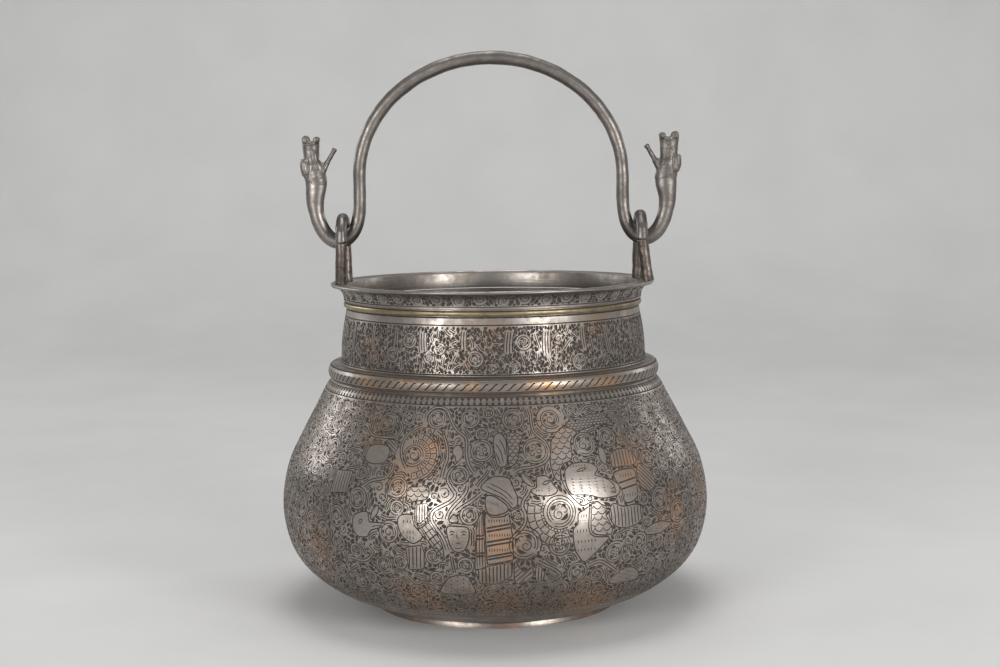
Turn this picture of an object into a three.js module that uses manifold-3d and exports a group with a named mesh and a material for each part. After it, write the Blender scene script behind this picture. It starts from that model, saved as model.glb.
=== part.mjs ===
// A round copper pail: raised bowl with a wide neck, moulded rings, a flanged rim and a
// swinging bail whose hooked ends pass through two eyes and finish in dragon heads.
// Millimetres, Z up, standing on z = 0, the two eyes on the X axis.
import * as THREE from 'three';
import { mergeVertices } from 'three/addons/utils/BufferGeometryUtils.js';
import Module from 'manifold-3d';

const wasm = await Module();
wasm.setup();

// Facets round the vessel, and the clearance left where one piece rests on another
const ROUND = 64;
const SEAT = 0.15;

// Raised copper shell: outer wall from the flat base to the shoulder, and its thickness
const WALL = 1.6;
const BASE_R = 66;
const BASE_Z = 4.4;
const BOWL = [[BASE_R, BASE_Z], [73.5, 5.7], [86.5, 10.7], [99, 16.8], [113.3, 28.8], [121.6, 43.5],
  [125, 64], [121, 86.5], [112.3, 105], [103, 122.5], [98, 132]];
const BOWL_STEPS = 17;
const SHOULDER = [[95.0, 135.6], [91.6, 140.4], [89.9, 145.2]];
const NECK = [[89.2, 148.5], [88.5, 160], [85.6, 177]];
const NECK_TOP_Z = 180.7;

// Half-round moulding that covers the shoulder: its front arc in degrees, and the land left on top
const RING_R = 96.8;
const RING_ROOT_R = 93.6;
const RING_Z = 140.2;
const RING_HALF_HEIGHT = 4.8;
const RING_ARC = [-70, 90];
const RING_ARC_STEPS = 8;
const RING_LAND = 0.9;

// Cast collar: flat flange, rolled lip from the flange round to LIP_END degrees, hollow moulding, fillet
const COLLAR_BOTTOM_Z = 181.0;
const COLLAR_INNER_R = 83.9;
const COLLAR_EDGE = 0.5;
const FILLET_R = 86.9;
const FILLET_HEIGHT = 1.2;
const FILLET_EDGE = [0.4, 0.3];
const FLANGE_TOP_Z = 190.6;
const LIP_R = 93.5;
const LIP_Z = 190.2;
const LIP_RADIUS = 1.1;
const LIP_END = -60;
const LIP_STEPS = 6;
const HOLLOW_STEPS = 5;

// Brass bead brazed round the top of the neck
const BEAD_INNER_R = 85.9;
const BEAD_OUTER_R = 87.2;
const BEAD_Z = 178.8;
const BEAD_HALF_HEIGHT = 1.5;
const BEAD_STEPS = 6;

// Foot ring under the bowl: outline of radius and height, its edges broken
const FOOT = [[69.6, 0], [71.8, 0], [72.4, 0.7], [72.4, 3.2], [71.9, 5.25], [69.2, 4.7], [69.2, 0.4]];

// Hairpin eyes that stand on the flange: bar, bend and where the two legs stand
const EYE_X = 87;
const PIVOT_Z = 215.4;
const EYE_BAR_R = 3.6;
const EYE_BEND_R = 12.9;
const EYE_FRONT_FOOT_X = 87.6;
const EYE_BACK_FOOT_X = 86.2;
const EYE_BEND_STEPS = 8;
const EYE_STATIONS = 28;

// Bail: round rod, elliptical arch between straight legs, then a hook through each eye
const ROD_R = 4.1;
const ARCH_HALF_SPAN = 76.7;
const ARCH_RISE = 67.8;
const ARCH_Z = 252.4;
const ARCH_POINTS = 10;
const HOOK = [[102.0, 247], [102.7, 237], [100.8, 226.5], [96.3, 218.6], [90.3, 215.0],
  [84.2, 216.8], [79.5, 222.6], [77.2, 231.5], [76.7, 242]];
const ROD_STATIONS = 76;
const ROD_SIDES = 12;

// Dragon heads: cast on the rod ends, measured from the end of the rod
const HEAD_GAP = 0.45;
const HEAD_DEPTH = 8.6;
const HEAD_BEVEL = 1.0;
const THROAT_HEIGHT = 8;
const THROAT_R = [5.2, 6.1];
const THROAT_DOME = [1, 0.85, 0.8];
const JAW_LENGTH = 15;
const JAW_R = [2.4, 1.1];
const JAW_ANGLE = 31;
const JAW_ROOT = [-3.8, 7.6];

// Side of the square blocks that trim a foot or a head level
const TRIM = 60;

// Turn a three.js shape into a solid with shared corners and no empty triangles
function solid(geometry) {
  const bare = geometry.clone();
  bare.deleteAttribute('normal');
  bare.deleteAttribute('uv');
  const welded = mergeVertices(bare, 1e-4);
  const corners = welded.index.array;
  const kept = [];
  for (let i = 0; i < corners.length; i += 3) {
    const [a, b, c] = [corners[i], corners[i + 1], corners[i + 2]];
    if (a !== b && b !== c && c !== a) kept.push(a, b, c);
  }
  const body = make(welded.attributes.position.array, kept);
  if (body.volume() > 0) return body;
  const turned = [];
  for (let i = 0; i < kept.length; i += 3) turned.push(kept[i], kept[i + 2], kept[i + 1]);
  return make(welded.attributes.position.array, turned);
}

function make(positions, corners) {
  return new wasm.Manifold(new wasm.Mesh({
    numProp: 3,
    vertProperties: new Float32Array(positions),
    triVerts: new Uint32Array(corners),
  }));
}

// Turn a solid back into a three.js mesh
function mesh(name, body, look) {
  const out = body.getMesh();
  const geometry = new THREE.BufferGeometry();
  geometry.setAttribute('position', new THREE.BufferAttribute(new Float32Array(out.vertProperties), 3));
  geometry.setIndex(new THREE.BufferAttribute(new Uint32Array(out.triVerts), 1));
  geometry.computeVertexNormals();
  const item = new THREE.Mesh(geometry, new THREE.MeshStandardMaterial(look));
  item.name = name;
  return item;
}

// Revolve a closed outline of [radius, height] pairs round the Z axis
function turned(outline) {
  const points = outline.map(([r, z]) => new THREE.Vector2(r, z));
  if (outline[0][0] > 0) points.push(points[0].clone());
  return solid(new THREE.LatheGeometry(points, ROUND).rotateX(Math.PI / 2));
}

// Points on an elliptical arc in the radius-height plane, angles in degrees
function arc(r, z, halfWidth, halfHeight, from, to, steps) {
  const points = [];
  for (let i = 0; i <= steps; i++) {
    const angle = THREE.MathUtils.degToRad(from + (to - from) * i / steps);
    points.push([r + halfWidth * Math.cos(angle), z + halfHeight * Math.sin(angle)]);
  }
  return points;
}

// Round bar swept along a curve
function bar(curve, radius, stations, sides) {
  const circle = new THREE.Shape();
  circle.absarc(0, 0, radius, 0, 2 * Math.PI);
  return solid(new THREE.ExtrudeGeometry(circle, {
    extrudePath: curve, steps: stations, curveSegments: sides / 2, bevelEnabled: false,
  }));
}

function bowlCurve() {
  const curve = new THREE.SplineCurve(BOWL.map(([r, z]) => new THREE.Vector2(r, z)));
  return curve.getSpacedPoints(BOWL_STEPS).map((p) => [p.x, p.y]);
}

// Bowl and neck raised from one sheet: the inside follows the outside one wall in
function bodyShell() {
  const outer = [...bowlCurve(), ...SHOULDER, ...NECK, [NECK[2][0], NECK_TOP_Z]];
  const inner = outer.map(([r, z], i) => {
    const before = outer[Math.max(i - 1, 0)];
    const after = outer[Math.min(i + 1, outer.length - 1)];
    const length = Math.hypot(after[0] - before[0], after[1] - before[1]);
    return [r - WALL * (after[1] - before[1]) / length, z + WALL * (after[0] - before[0]) / length];
  });
  inner[0] = [BASE_R, BASE_Z + WALL];
  inner[inner.length - 1] = [NECK[2][0] - WALL, NECK_TOP_Z];
  return turned([[0, BASE_Z], ...outer, ...inner.reverse(), [0, BASE_Z + WALL]]);
}

// Half-round ring over the shoulder, its back following the shell
function shoulderRing() {
  const front = arc(RING_ROOT_R, RING_Z, RING_R - RING_ROOT_R, RING_HALF_HEIGHT, ...RING_ARC, RING_ARC_STEPS);
  const back = SHOULDER.slice().reverse().map(([r, z]) => [r + SEAT, z]);
  return turned([...front, [back[0][0] + RING_LAND, back[0][1]], ...back]);
}

// Collar: flat flange above, rolled lip, hollow moulding and a fillet below
function rimFlange() {
  const rise = (FLANGE_TOP_Z - LIP_Z) / LIP_RADIUS;
  const lipStart = 180 - THREE.MathUtils.radToDeg(Math.asin(rise));
  const flangeEdgeR = LIP_R - LIP_RADIUS * Math.sqrt(1 - rise * rise);
  const lip = arc(LIP_R, LIP_Z, LIP_RADIUS, LIP_RADIUS, lipStart, LIP_END, LIP_STEPS).slice(1);
  const [underR, underZ] = lip[lip.length - 1];
  const hollowZ = COLLAR_BOTTOM_Z + FILLET_HEIGHT;
  const hollow = arc(underR, hollowZ, underR - FILLET_R, underZ - hollowZ, 90, 180, HOLLOW_STEPS).slice(1);
  return turned([
    [COLLAR_INNER_R, COLLAR_BOTTOM_Z], [COLLAR_INNER_R, FLANGE_TOP_Z - COLLAR_EDGE],
    [COLLAR_INNER_R + COLLAR_EDGE, FLANGE_TOP_Z], [flangeEdgeR, FLANGE_TOP_Z], ...lip, ...hollow,
    [FILLET_R, COLLAR_BOTTOM_Z + FILLET_EDGE[1]], [FILLET_R - FILLET_EDGE[0], COLLAR_BOTTOM_Z],
  ]);
}

function neckBead() {
  return turned(arc(BEAD_INNER_R, BEAD_Z, BEAD_OUTER_R - BEAD_INNER_R, BEAD_HALF_HEIGHT, -90, 90, BEAD_STEPS));
}

function footRing() {
  return turned(FOOT);
}

// One hairpin eye; side is 1 for right, -1 for left
function eye(side) {
  const footZ = FLANGE_TOP_Z + SEAT;
  const path = new THREE.CurvePath();
  const bend = [];
  for (let i = 0; i <= EYE_BEND_STEPS; i++) {
    const angle = Math.PI * i / EYE_BEND_STEPS;
    bend.push(new THREE.Vector3(side * EYE_X, -EYE_BEND_R * Math.cos(angle),
      PIVOT_Z + EYE_BEND_R * Math.sin(angle)));
  }
  path.add(new THREE.CatmullRomCurve3([
    new THREE.Vector3(side * EYE_FRONT_FOOT_X, -EYE_BEND_R, footZ),
    new THREE.Vector3(side * (EYE_X + EYE_FRONT_FOOT_X) / 2, -EYE_BEND_R, (footZ + PIVOT_Z) / 2),
    ...bend,
    new THREE.Vector3(side * (EYE_X + EYE_BACK_FOOT_X) / 2, EYE_BEND_R, (footZ + PIVOT_Z) / 2),
    new THREE.Vector3(side * EYE_BACK_FOOT_X, EYE_BEND_R, footZ),
  ]));
  const hairpin = bar(path, EYE_BAR_R, EYE_STATIONS, ROD_SIDES);
  const below = new THREE.BoxGeometry(TRIM, TRIM, TRIM).translate(side * EYE_X, 0, footZ - TRIM / 2);
  return hairpin.subtract(solid(below));
}

function bail() {
  const half = HOOK.map(([x, z]) => new THREE.Vector3(x, 0, z));
  const arch = [];
  for (let i = 0; i <= ARCH_POINTS; i++) {
    const angle = Math.PI * i / ARCH_POINTS;
    arch.push(new THREE.Vector3(ARCH_HALF_SPAN * Math.cos(angle), 0, ARCH_Z + ARCH_RISE * Math.sin(angle)));
  }
  const mirrored = half.map((p) => new THREE.Vector3(-p.x, 0, p.z)).reverse();
  const curve = new THREE.CatmullRomCurve3([...half, ...arch, ...mirrored], false, 'centripetal');
  return bar(curve, ROD_R, ROD_STATIONS, ROD_SIDES);
}

// Side outline of a head, x away from the vessel and y up: snout with two curled lips, brow behind
function headOutline() {
  const outline = new THREE.Shape();
  outline.moveTo(-3.9, 4.2);
  outline.lineTo(-2.6, 16.4);
  outline.lineTo(-3.0, 26.8);
  outline.quadraticCurveTo(-1.9, 28.8, -0.3, 27.4);
  outline.quadraticCurveTo(1.7, 24.8, 3.5, 27.0);
  outline.quadraticCurveTo(5.6, 29.8, 7.4, 27.6);
  outline.lineTo(7.0, 16.3);
  outline.quadraticCurveTo(9.6, 16.1, 9.2, 12.6);
  outline.quadraticCurveTo(8.2, 8.2, 4.2, 4.2);
  return outline;
}

// Dragon head: flared neck, flat-sided snout and a thin open lower jaw towards the bail
function dragonHead(side) {
  const snout = new THREE.ExtrudeGeometry(headOutline(), {
    depth: HEAD_DEPTH - 2 * HEAD_BEVEL, bevelThickness: HEAD_BEVEL, bevelSize: HEAD_BEVEL,
    bevelOffset: -HEAD_BEVEL, bevelSegments: 2, curveSegments: 4,
  }).translate(0, 0, -HEAD_DEPTH / 2 + HEAD_BEVEL).rotateX(Math.PI / 2);
  const throat = new THREE.CylinderGeometry(THROAT_R[1], THROAT_R[0], THROAT_HEIGHT, 16)
    .rotateX(Math.PI / 2).translate(0, 0, THROAT_HEIGHT / 2);
  const dome = new THREE.SphereGeometry(THROAT_R[1], 16, 10).scale(...THROAT_DOME)
    .translate(0, 0, THROAT_HEIGHT);
  const jaw = new THREE.CylinderGeometry(JAW_R[1], JAW_R[0], JAW_LENGTH, 10).rotateX(Math.PI / 2)
    .translate(0, 0, JAW_LENGTH / 2).rotateY(THREE.MathUtils.degToRad(-JAW_ANGLE))
    .translate(JAW_ROOT[0], 0, JAW_ROOT[1]);
  const body = solid(snout).add(solid(throat)).add(solid(jaw)).add(solid(dome));
  const rodEnd = HOOK[0][1] + HEAD_GAP;
  const below = new THREE.BoxGeometry(TRIM, TRIM, TRIM).translate(HOOK[0][0], 0, rodEnd - TRIM / 2);
  const level = body.translate([HOOK[0][0], 0, rodEnd]).subtract(solid(below));
  return side > 0 ? level : level.mirror([1, 0, 0]);
}

const tinned = { color: 0x8f8780, roughness: 0.42, metalness: 0.9 };
const bronze = { color: 0x98897a, roughness: 0.4, metalness: 0.9 };
const brass = { color: 0xa3905c, roughness: 0.38, metalness: 0.95 };
const copper = { color: 0x8c705c, roughness: 0.45, metalness: 0.9 };

const pail = new THREE.Group();
pail.name = 'pail';
pail.add(mesh('body_shell', bodyShell(), tinned));
pail.add(mesh('shoulder_ring', shoulderRing(), copper));
pail.add(mesh('rim_flange', rimFlange(), tinned));
pail.add(mesh('neck_bead', neckBead(), brass));
pail.add(mesh('foot_ring', footRing(), copper));
pail.add(mesh('eye_left', eye(-1), bronze));
pail.add(mesh('eye_right', eye(1), bronze));
pail.add(mesh('bail', bail(), bronze));
pail.add(mesh('dragon_head_left', dragonHead(-1), bronze));
pail.add(mesh('dragon_head_right', dragonHead(1), bronze));

export default pail;
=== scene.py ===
from math import cos, degrees, pi, radians, sin, sqrt, tau

import bmesh
import bpy
from mathutils import Matrix, Vector, noise
from mathutils.geometry import delaunay_2d_cdt
import numpy as np


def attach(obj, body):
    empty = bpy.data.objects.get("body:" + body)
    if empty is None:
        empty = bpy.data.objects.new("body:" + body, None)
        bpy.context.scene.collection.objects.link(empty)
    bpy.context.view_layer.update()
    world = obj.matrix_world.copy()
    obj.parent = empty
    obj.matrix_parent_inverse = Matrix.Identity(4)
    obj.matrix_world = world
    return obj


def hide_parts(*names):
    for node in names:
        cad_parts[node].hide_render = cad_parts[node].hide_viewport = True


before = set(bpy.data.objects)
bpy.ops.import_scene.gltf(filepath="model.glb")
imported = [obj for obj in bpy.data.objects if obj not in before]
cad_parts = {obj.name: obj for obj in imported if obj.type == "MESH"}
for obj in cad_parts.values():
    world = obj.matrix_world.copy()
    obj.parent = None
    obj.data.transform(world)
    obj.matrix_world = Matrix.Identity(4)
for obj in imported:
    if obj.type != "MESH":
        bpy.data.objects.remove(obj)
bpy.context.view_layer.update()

MM = 0.001  # a millimetre in metres: the sections below are written in millimetres

# Camera
# The pail is seen a little from above. It leans by under a degree in the picture, so the
# camera is rolled about the foot by the same angle and the pail stays upright.
CAMERA_PLACE = (0.0020, -0.9751, 0.2562)
CAMERA_DIP, CAMERA_ROLL = 5.656, 0.75
scene = bpy.context.scene
camera_data = bpy.data.cameras.new("camera")
camera_data.sensor_fit = "HORIZONTAL"
camera_data.sensor_width = 36.0
camera_data.lens = 59.95
camera = bpy.data.objects.new("camera", camera_data)
scene.collection.objects.link(camera)
camera.matrix_world = (Matrix.Rotation(radians(CAMERA_ROLL), 4, "Y") @ Matrix.Translation(CAMERA_PLACE)
                       @ Matrix.Rotation(radians(90 - CAMERA_DIP), 4, "X"))
scene.camera = camera

# Room
# A pale sheet of paper that runs from the floor up into the backdrop in one sweep. Soft round
# lamps stand in front, behind and above, and the metal mirrors them.
scene.view_settings.view_transform = "Standard"


class Wire:
    """A socket of a material that sums can be written with; node() adds any other node."""

    def __init__(self, tree, socket=None):
        self.tree = tree
        self.socket = socket

    def node(self, kind, settings=(), out=0, **inputs):
        made = self.tree.nodes.new("ShaderNode" + kind)
        for name, value in dict(settings).items():
            if name == "stops":
                ramp = made.color_ramp
                while len(ramp.elements) < len(value):
                    ramp.elements.new(0.5)
                for stop, (place, colour) in zip(ramp.elements, value):
                    stop.position = place
                    stop.color = colour if len(colour) == 4 else (*colour, 1)
            else:
                setattr(made, name, value)
        for name, value in inputs.items():
            place = int(name[1:]) if name[0] == "_" else name.replace("_", " ")
            if isinstance(value, Wire):
                self.tree.links.new(value.socket, made.inputs[place])
            else:
                made.inputs[place].default_value = value
        return Wire(self.tree, made.outputs[out])

    def maths(self, operation, first, second=0.0):
        return self.node("Math", {"operation": operation}, _0=first, _1=second)

    def __add__(self, other):
        return self.maths("ADD", self, other)

    def __sub__(self, other):
        return self.maths("SUBTRACT", self, other)

    def __rsub__(self, other):
        return self.maths("SUBTRACT", other, self)

    def __mul__(self, other):
        return self.maths("MULTIPLY", self, other)

    __radd__ = __add__
    __rmul__ = __mul__

    def between(self, low, high):
        """0 below low and 1 above high, with a soft step between"""
        return self.node("MapRange", {"interpolation_type": "SMOOTHSTEP"},
                         Value=self, From_Min=low, From_Max=high)

    def mixed(self, first, second):
        """The colour first where this is 0 and second where it is 1"""
        first = first if isinstance(first, Wire) else (*first, 1)
        second = second if isinstance(second, Wire) else (*second, 1)
        return self.node("Mix", {"data_type": "RGBA"}, out=2, _0=self, _6=first, _7=second)


def material(name):
    """A new material: itself, its shader and a wire to build from"""
    made = bpy.data.materials.new(name)
    made.use_nodes = True
    return made, made.node_tree.nodes["Principled BSDF"], Wire(made.node_tree)


def feed(shader, **wires):
    for name, wire in wires.items():
        wire.tree.links.new(wire.socket, shader.inputs[name.replace("_", " ")])


paper, shader, wire = material("backdrop_paper")
place = wire.node("TexCoord", out=3)
grain = wire.node("TexNoise", Vector=place, Scale=9.0, Detail=4.0)
feed(shader, Base_Color=grain.between(0.2, 0.8).mixed((0.60, 0.595, 0.585), (0.64, 0.635, 0.625)))
shader.inputs["Roughness"].default_value = 0.9

sweep = bmesh.new()
for y, z in [(-1.6, 0), (0.9, 0), (1.25, 0.05), (1.45, 0.22), (1.5, 0.5), (1.5, 2.2)]:
    sweep.verts.new((-2.4, y, z))
sweep.verts.ensure_lookup_table()
edges = [sweep.edges.new(sweep.verts[i:i + 2]) for i in range(5)]
across = bmesh.ops.extrude_edge_only(sweep, edges=edges)["geom"]
far_side = [v for v in across if isinstance(v, bmesh.types.BMVert)]
bmesh.ops.translate(sweep, vec=(4.8, 0, 0), verts=far_side)
bmesh.ops.recalc_face_normals(sweep, faces=sweep.faces)
backdrop_mesh = bpy.data.meshes.new("backdrop")
sweep.to_mesh(backdrop_mesh)
sweep.free()
backdrop = bpy.data.objects.new("backdrop", backdrop_mesh)
scene.collection.objects.link(backdrop)
bend = backdrop.modifiers.new("bend", "SUBSURF")
bend.levels = bend.render_levels = 3
for face in backdrop_mesh.polygons:
    face.use_smooth = True
backdrop_mesh.materials.append(paper)

world = bpy.data.worlds.new("room_light")
world.use_nodes = True
world.node_tree.nodes["Background"].inputs["Color"].default_value = (0.80, 0.81, 0.83, 1)
world.node_tree.nodes["Background"].inputs["Strength"].default_value = 0.42
scene.world = world

for name, place, aim, size, power in [
        ("lamp_left", (-0.80, -1.20, 0.42), (0, 0, 0.11), 0.60, 10.0),
        ("lamp_right", (0.95, -1.12, 0.46), (0, 0, 0.11), 0.55, 12.0),
        ("lamp_far_left", (-1.25, 0.75, 0.60), (0, 0, 0.12), 0.60, 3.5),
        ("lamp_far_right", (1.30, 0.80, 0.60), (0, 0, 0.12), 0.60, 2.5),
        ("lamp_top", (0.0, 0.10, 1.45), (0, 0, 0.1), 0.9, 8.0)]:
    light = bpy.data.lights.new(name, "AREA")
    light.shape = "DISK"
    light.size = size
    light.energy = power
    lamp = bpy.data.objects.new(name, light)
    lamp.location = place
    lamp.rotation_euler = (Vector(aim) - Vector(place)).to_track_quat("-Z", "Y").to_euler()
    scene.collection.objects.link(lamp)

# Foot ring
# A plain ring soldered under the bowl. The tinning is rubbed off its edges, so the copper
# shows along them, and it is dull and scratched from being set down.


def worn_metal(name, face, dull, bare, rub, rough=0.36, patches=(), scratches=0.5, dents=0.25):
    """Old metal: face colour and its dull film, the bare metal under it and how far it shows"""
    made, shader, wire = material(name)
    place = wire.node("TexCoord", out=3)
    cloud = wire.node("TexNoise", Vector=place, Scale=26.0, Detail=6.0, Roughness=0.6)
    spots = wire.node("TexNoise", Vector=place, Scale=150.0, Detail=5.0, Roughness=0.65)
    dust = wire.node("TexNoise", Vector=place, Scale=900.0, Detail=3.0)
    round_it = wire.node("Mapping", Vector=place, Scale=(25.0, 25.0, 1600.0))
    hair = wire.node("TexNoise", Vector=round_it, Scale=1.0, Detail=4.0).between(0.52, 0.68)
    film = (cloud * 0.55 + spots * 0.45).between(0.38, 0.62)
    shown = (cloud * 0.6 + spots * 0.4).between(0.66 - 0.2 * rub, 0.80 - 0.2 * rub)
    for x, y, z, reach, strength in patches:
        away = wire.node("VectorMath", {"operation": "DISTANCE"}, out=1, _0=place, _1=(x, y, z))
        near = (away + spots * (reach * 0.9)).between(reach * 1.35, reach * 0.45)
        broken = (cloud * 0.5 + spots * 0.9).between(0.45, 0.85)
        shown = wire.maths("MAXIMUM", shown, near * broken * strength)
    colour = shown.mixed(film.mixed(face, dull), bare)
    colour = (hair * (0.35 * scratches)).mixed(colour, [min(1, c * 1.5) for c in face])
    colour = (dust.between(0.55, 0.8) * 0.35).mixed(colour, [c * 0.45 for c in dull])
    feed(shader, Base_Color=colour, Metallic=0.97 - film * 0.14,
         Roughness=film * 0.14 + (rough - 0.05) + spots * 0.08 - hair * (0.08 * scratches))
    hammered = cloud * (0.5 * dents) + spots * (0.12 * dents) + hair * (0.03 * scratches)
    relief = wire.node("Bump", Height=hammered, Distance=0.0009, Strength=1.0)
    feed(shader, Normal=relief)
    return made


def placed(mesh, looks, body, stands_for):
    """The mesh becomes a piece: its materials, the body it moves with, the part it stands for"""
    for look in looks:
        mesh.materials.append(look)
    piece = bpy.data.objects.new(mesh.name, mesh)
    scene.collection.objects.link(piece)
    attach(piece, body)
    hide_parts(*stands_for)


def smoothed(form, mesh, sharp):
    """The shape goes into the mesh, smooth but for the edges that bend more than sharp degrees"""
    form.to_mesh(mesh)
    form.free()
    mesh.polygons.foreach_set("use_smooth", [True] * len(mesh.polygons))
    mesh.set_sharp_from_angle(angle=radians(sharp))


def finished(name, form, looks, stands_for, body="vessel", sharp=40):
    """The shape becomes a named piece"""
    mesh = bpy.data.meshes.new(name)
    smoothed(form, mesh, sharp)
    placed(mesh, looks, body, stands_for)


def turned(outline, steps=192):
    """A closed outline of radius and height in millimetres, spun once round the Z axis"""
    form = bmesh.new()
    ring = [form.verts.new((r * MM, 0, z * MM)) for r, z in outline]
    edges = [form.edges.new(pair) for pair in zip(ring, ring[1:] + ring[:1])]
    bmesh.ops.spin(form, geom=ring + edges, cent=(0, 0, 0), axis=(0, 0, 1), angle=tau,
                   steps=steps, use_merge=True)
    bmesh.ops.remove_doubles(form, verts=form.verts, dist=1e-7)
    bmesh.ops.recalc_face_normals(form, faces=form.faces)
    return form


foot_metal = worn_metal("rubbed_copper_foot", (0.27, 0.23, 0.20), (0.15, 0.125, 0.105),
                        (0.36, 0.21, 0.13), rub=0.75)
foot = turned([(69.5, 0.15), (69.8, 0), (71.5, 0), (72.0, 0.25), (72.3, 0.8), (72.3, 2.2), (72.1, 3.4),
               (71.8, 4.6), (71.6, 5.2), (69.3, 4.8), (69.25, 2.5), (69.25, 0.6)])
finished("foot_band", foot, [foot_metal], ["foot_ring"])

# Bowl
# Raised from one sheet of copper and tinned, then covered with engraving: scrolls that coil
# round small figures, birds and wings. The cuts are filled with a black paste.


def flowing(points, step=0.25, closed=False):
    """Points along a smooth curve through the given ones"""
    knots = np.asarray(points, float)
    if closed:
        knots = np.vstack([knots[-1:], knots, knots[:2]])
    else:
        knots = np.vstack([2 * knots[0] - knots[1], knots, 2 * knots[-1] - knots[-2]])
    parts = []
    for a, b, c, d in zip(knots, knots[1:], knots[2:], knots[3:]):
        f = np.linspace(0, 1, max(2, int(np.hypot(*(c - b)) / step) + 1), endpoint=False)[:, None]
        parts.append(b + 0.5 * f * (c - a + f * (2 * a - 5 * b + 4 * c - d + f * (3 * (b - c) + d - a))))
    return np.vstack(parts + [knots[-2:-1]])


class Wall:
    """The outside of a turned wall, rolled out flat. u runs round it and w down it, in millimetres
    at the mean radius, and w stretches with the radius so that a small circle stays a circle."""

    def __init__(self, outline, mean):
        self.r, self.z = np.asarray(outline, float).T
        length = np.hypot(np.diff(self.r), np.diff(self.z))
        self.t = np.r_[0, np.cumsum(length)]
        self.w = np.r_[0, np.cumsum(length * 2 * mean / (self.r[1:] + self.r[:-1]))]
        self.lean = np.gradient(self.r, self.t), np.gradient(self.z, self.t)
        self.mean = mean
        self.round = tau * mean

    def spot(self, angle, down):
        """The place at an angle in degrees from the front, and a distance down from the top edge"""
        return radians(angle) * self.mean, float(np.interp(down, self.t, self.w))

    def level(self, z):
        return float(np.interp(-z, -self.z, self.w))

    def surface(self, u, w, depth):
        """Points on the wall, sunk by depth, and the directions that face out of it"""
        r, z = np.interp(w, self.w, self.r), np.interp(w, self.w, self.z)
        dr, dz = (np.interp(w, self.w, part) for part in self.lean)
        size = np.hypot(dr, dz)
        out_r, out_z = -dz / size, dr / size
        angle = u / self.mean
        facing = np.c_[out_r * np.sin(angle), -out_r * np.cos(angle), out_z]
        r, z = r - depth * out_r, z - depth * out_z
        return np.c_[r * np.sin(angle), -r * np.cos(angle), z] * MM, facing


class Graver:
    """Holds the cuts made on one wall: each has its points, half widths, depth, and whether it closes"""

    def __init__(self, wall):
        self.wall = wall
        self.cuts = []
        self.rounds = []
        self.pits = []

    def ring(self, w, width=0.5, deep=0.3):
        """A cut that runs all the way round at one height"""
        self.rounds.append((w, width, deep))

    def line(self, points, width=0.5, taper=0.12, closed=False, deep=0.32, slack=0.05, longest=4.0):
        """A cut along the points: it tapers at both ends, and has most stations where it bends most"""
        points = np.asarray(points, float)
        step = np.diff(points, axis=0)
        length = np.hypot(*step.T)
        points, step, length = points[np.r_[True, length > 1e-6]], step[length > 1e-6], length[length > 1e-6]
        if len(length) < 1:
            return
        bend = np.zeros(len(points))
        if len(length) > 1:
            heading = np.unwrap(np.arctan2(step[:, 1], step[:, 0]))
            bend[1:-1] = np.abs(np.diff(heading)) * 2 / (length[1:] + length[:-1])
        need = np.r_[0, np.cumsum(length * (np.sqrt((bend[1:] + bend[:-1]) / (16 * slack)) + 1 / longest))]
        along = np.r_[0, np.cumsum(length)]
        whole = along[-1]
        count = max(2, int(np.ceil(need[-1])))
        at = np.interp(np.linspace(0, need[-1], count + 1), need, along)
        if not closed and taper < 0.4:
            at = np.unique(np.r_[at, taper * whole, (1 - taper) * whole])
            at = at[np.r_[True, np.diff(at) > 0.12]]
        elif not closed:
            at = np.interp(np.linspace(0, 1, max(5, len(at))), np.linspace(0, 1, len(at)), at)
        line = np.c_[np.interp(at, along, points[:, 0]), np.interp(at, along, points[:, 1])]
        f = at / whole
        half = np.full(len(f), width / 2) if closed else width / 2 * np.minimum(
            1, np.minimum(f, 1 - f) / max(taper, 1e-6)) ** 0.8
        if closed:
            line, half = line[:-1], half[:-1]
        self.cuts.append((line, half, deep, closed))

    def circle(self, u, w, radius, width=0.5, deep=0.32):
        a = np.linspace(0, tau, max(10, int(tau * sqrt(radius / 0.4))) + 1)
        self.line(np.c_[u + radius * np.cos(a), w + radius * np.sin(a)], width, closed=True, deep=deep,
                  slack=0.06)

    def arc(self, u, w, radii, angles, width=0.5, taper=0.15):
        """A cut on a spiral round (u, w): it runs between two radii and two angles in degrees"""
        f = np.linspace(0, 1, 40)
        r, a = radii[0] + (radii[1] - radii[0]) * f, np.radians(angles[0] + (angles[1] - angles[0]) * f)
        self.line(np.c_[u + r * np.cos(a), w + r * np.sin(a)], width, taper)

    def leaf(self, u, w, angle, length, width, curl=0.0):
        """A short cut that swells in the middle, centred on (u, w) and bent by curl degrees"""
        f = np.linspace(-0.5, 0.5, 9)
        heading = radians(angle) + np.radians(curl) * f
        steps = np.c_[np.cos(heading), np.sin(heading)] * length / 8
        path = np.cumsum(steps, axis=0)
        self.line(path - path[4] + (u, w), width, taper=0.5, deep=0.35, slack=0.1)

    def pit(self, u, w, outline, deep=0.3):
        """A sunk piece of ground round (u, w), with sloping sides"""
        self.pits.append((np.array([u, w]), outline, deep))


def inside(polygon, points):
    """Which of the points lie in the closed polygon"""
    x, y = points[..., 0], points[..., 1]
    found = np.zeros(x.shape, bool)
    for (x0, y0), (x1, y1) in zip(polygon, np.roll(polygon, -1, axis=0)):
        if y0 != y1:
            found ^= ((y0 > y) != (y1 > y)) & (x < x0 + (y - y0) / (y1 - y0) * (x1 - x0))
    return found


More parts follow.
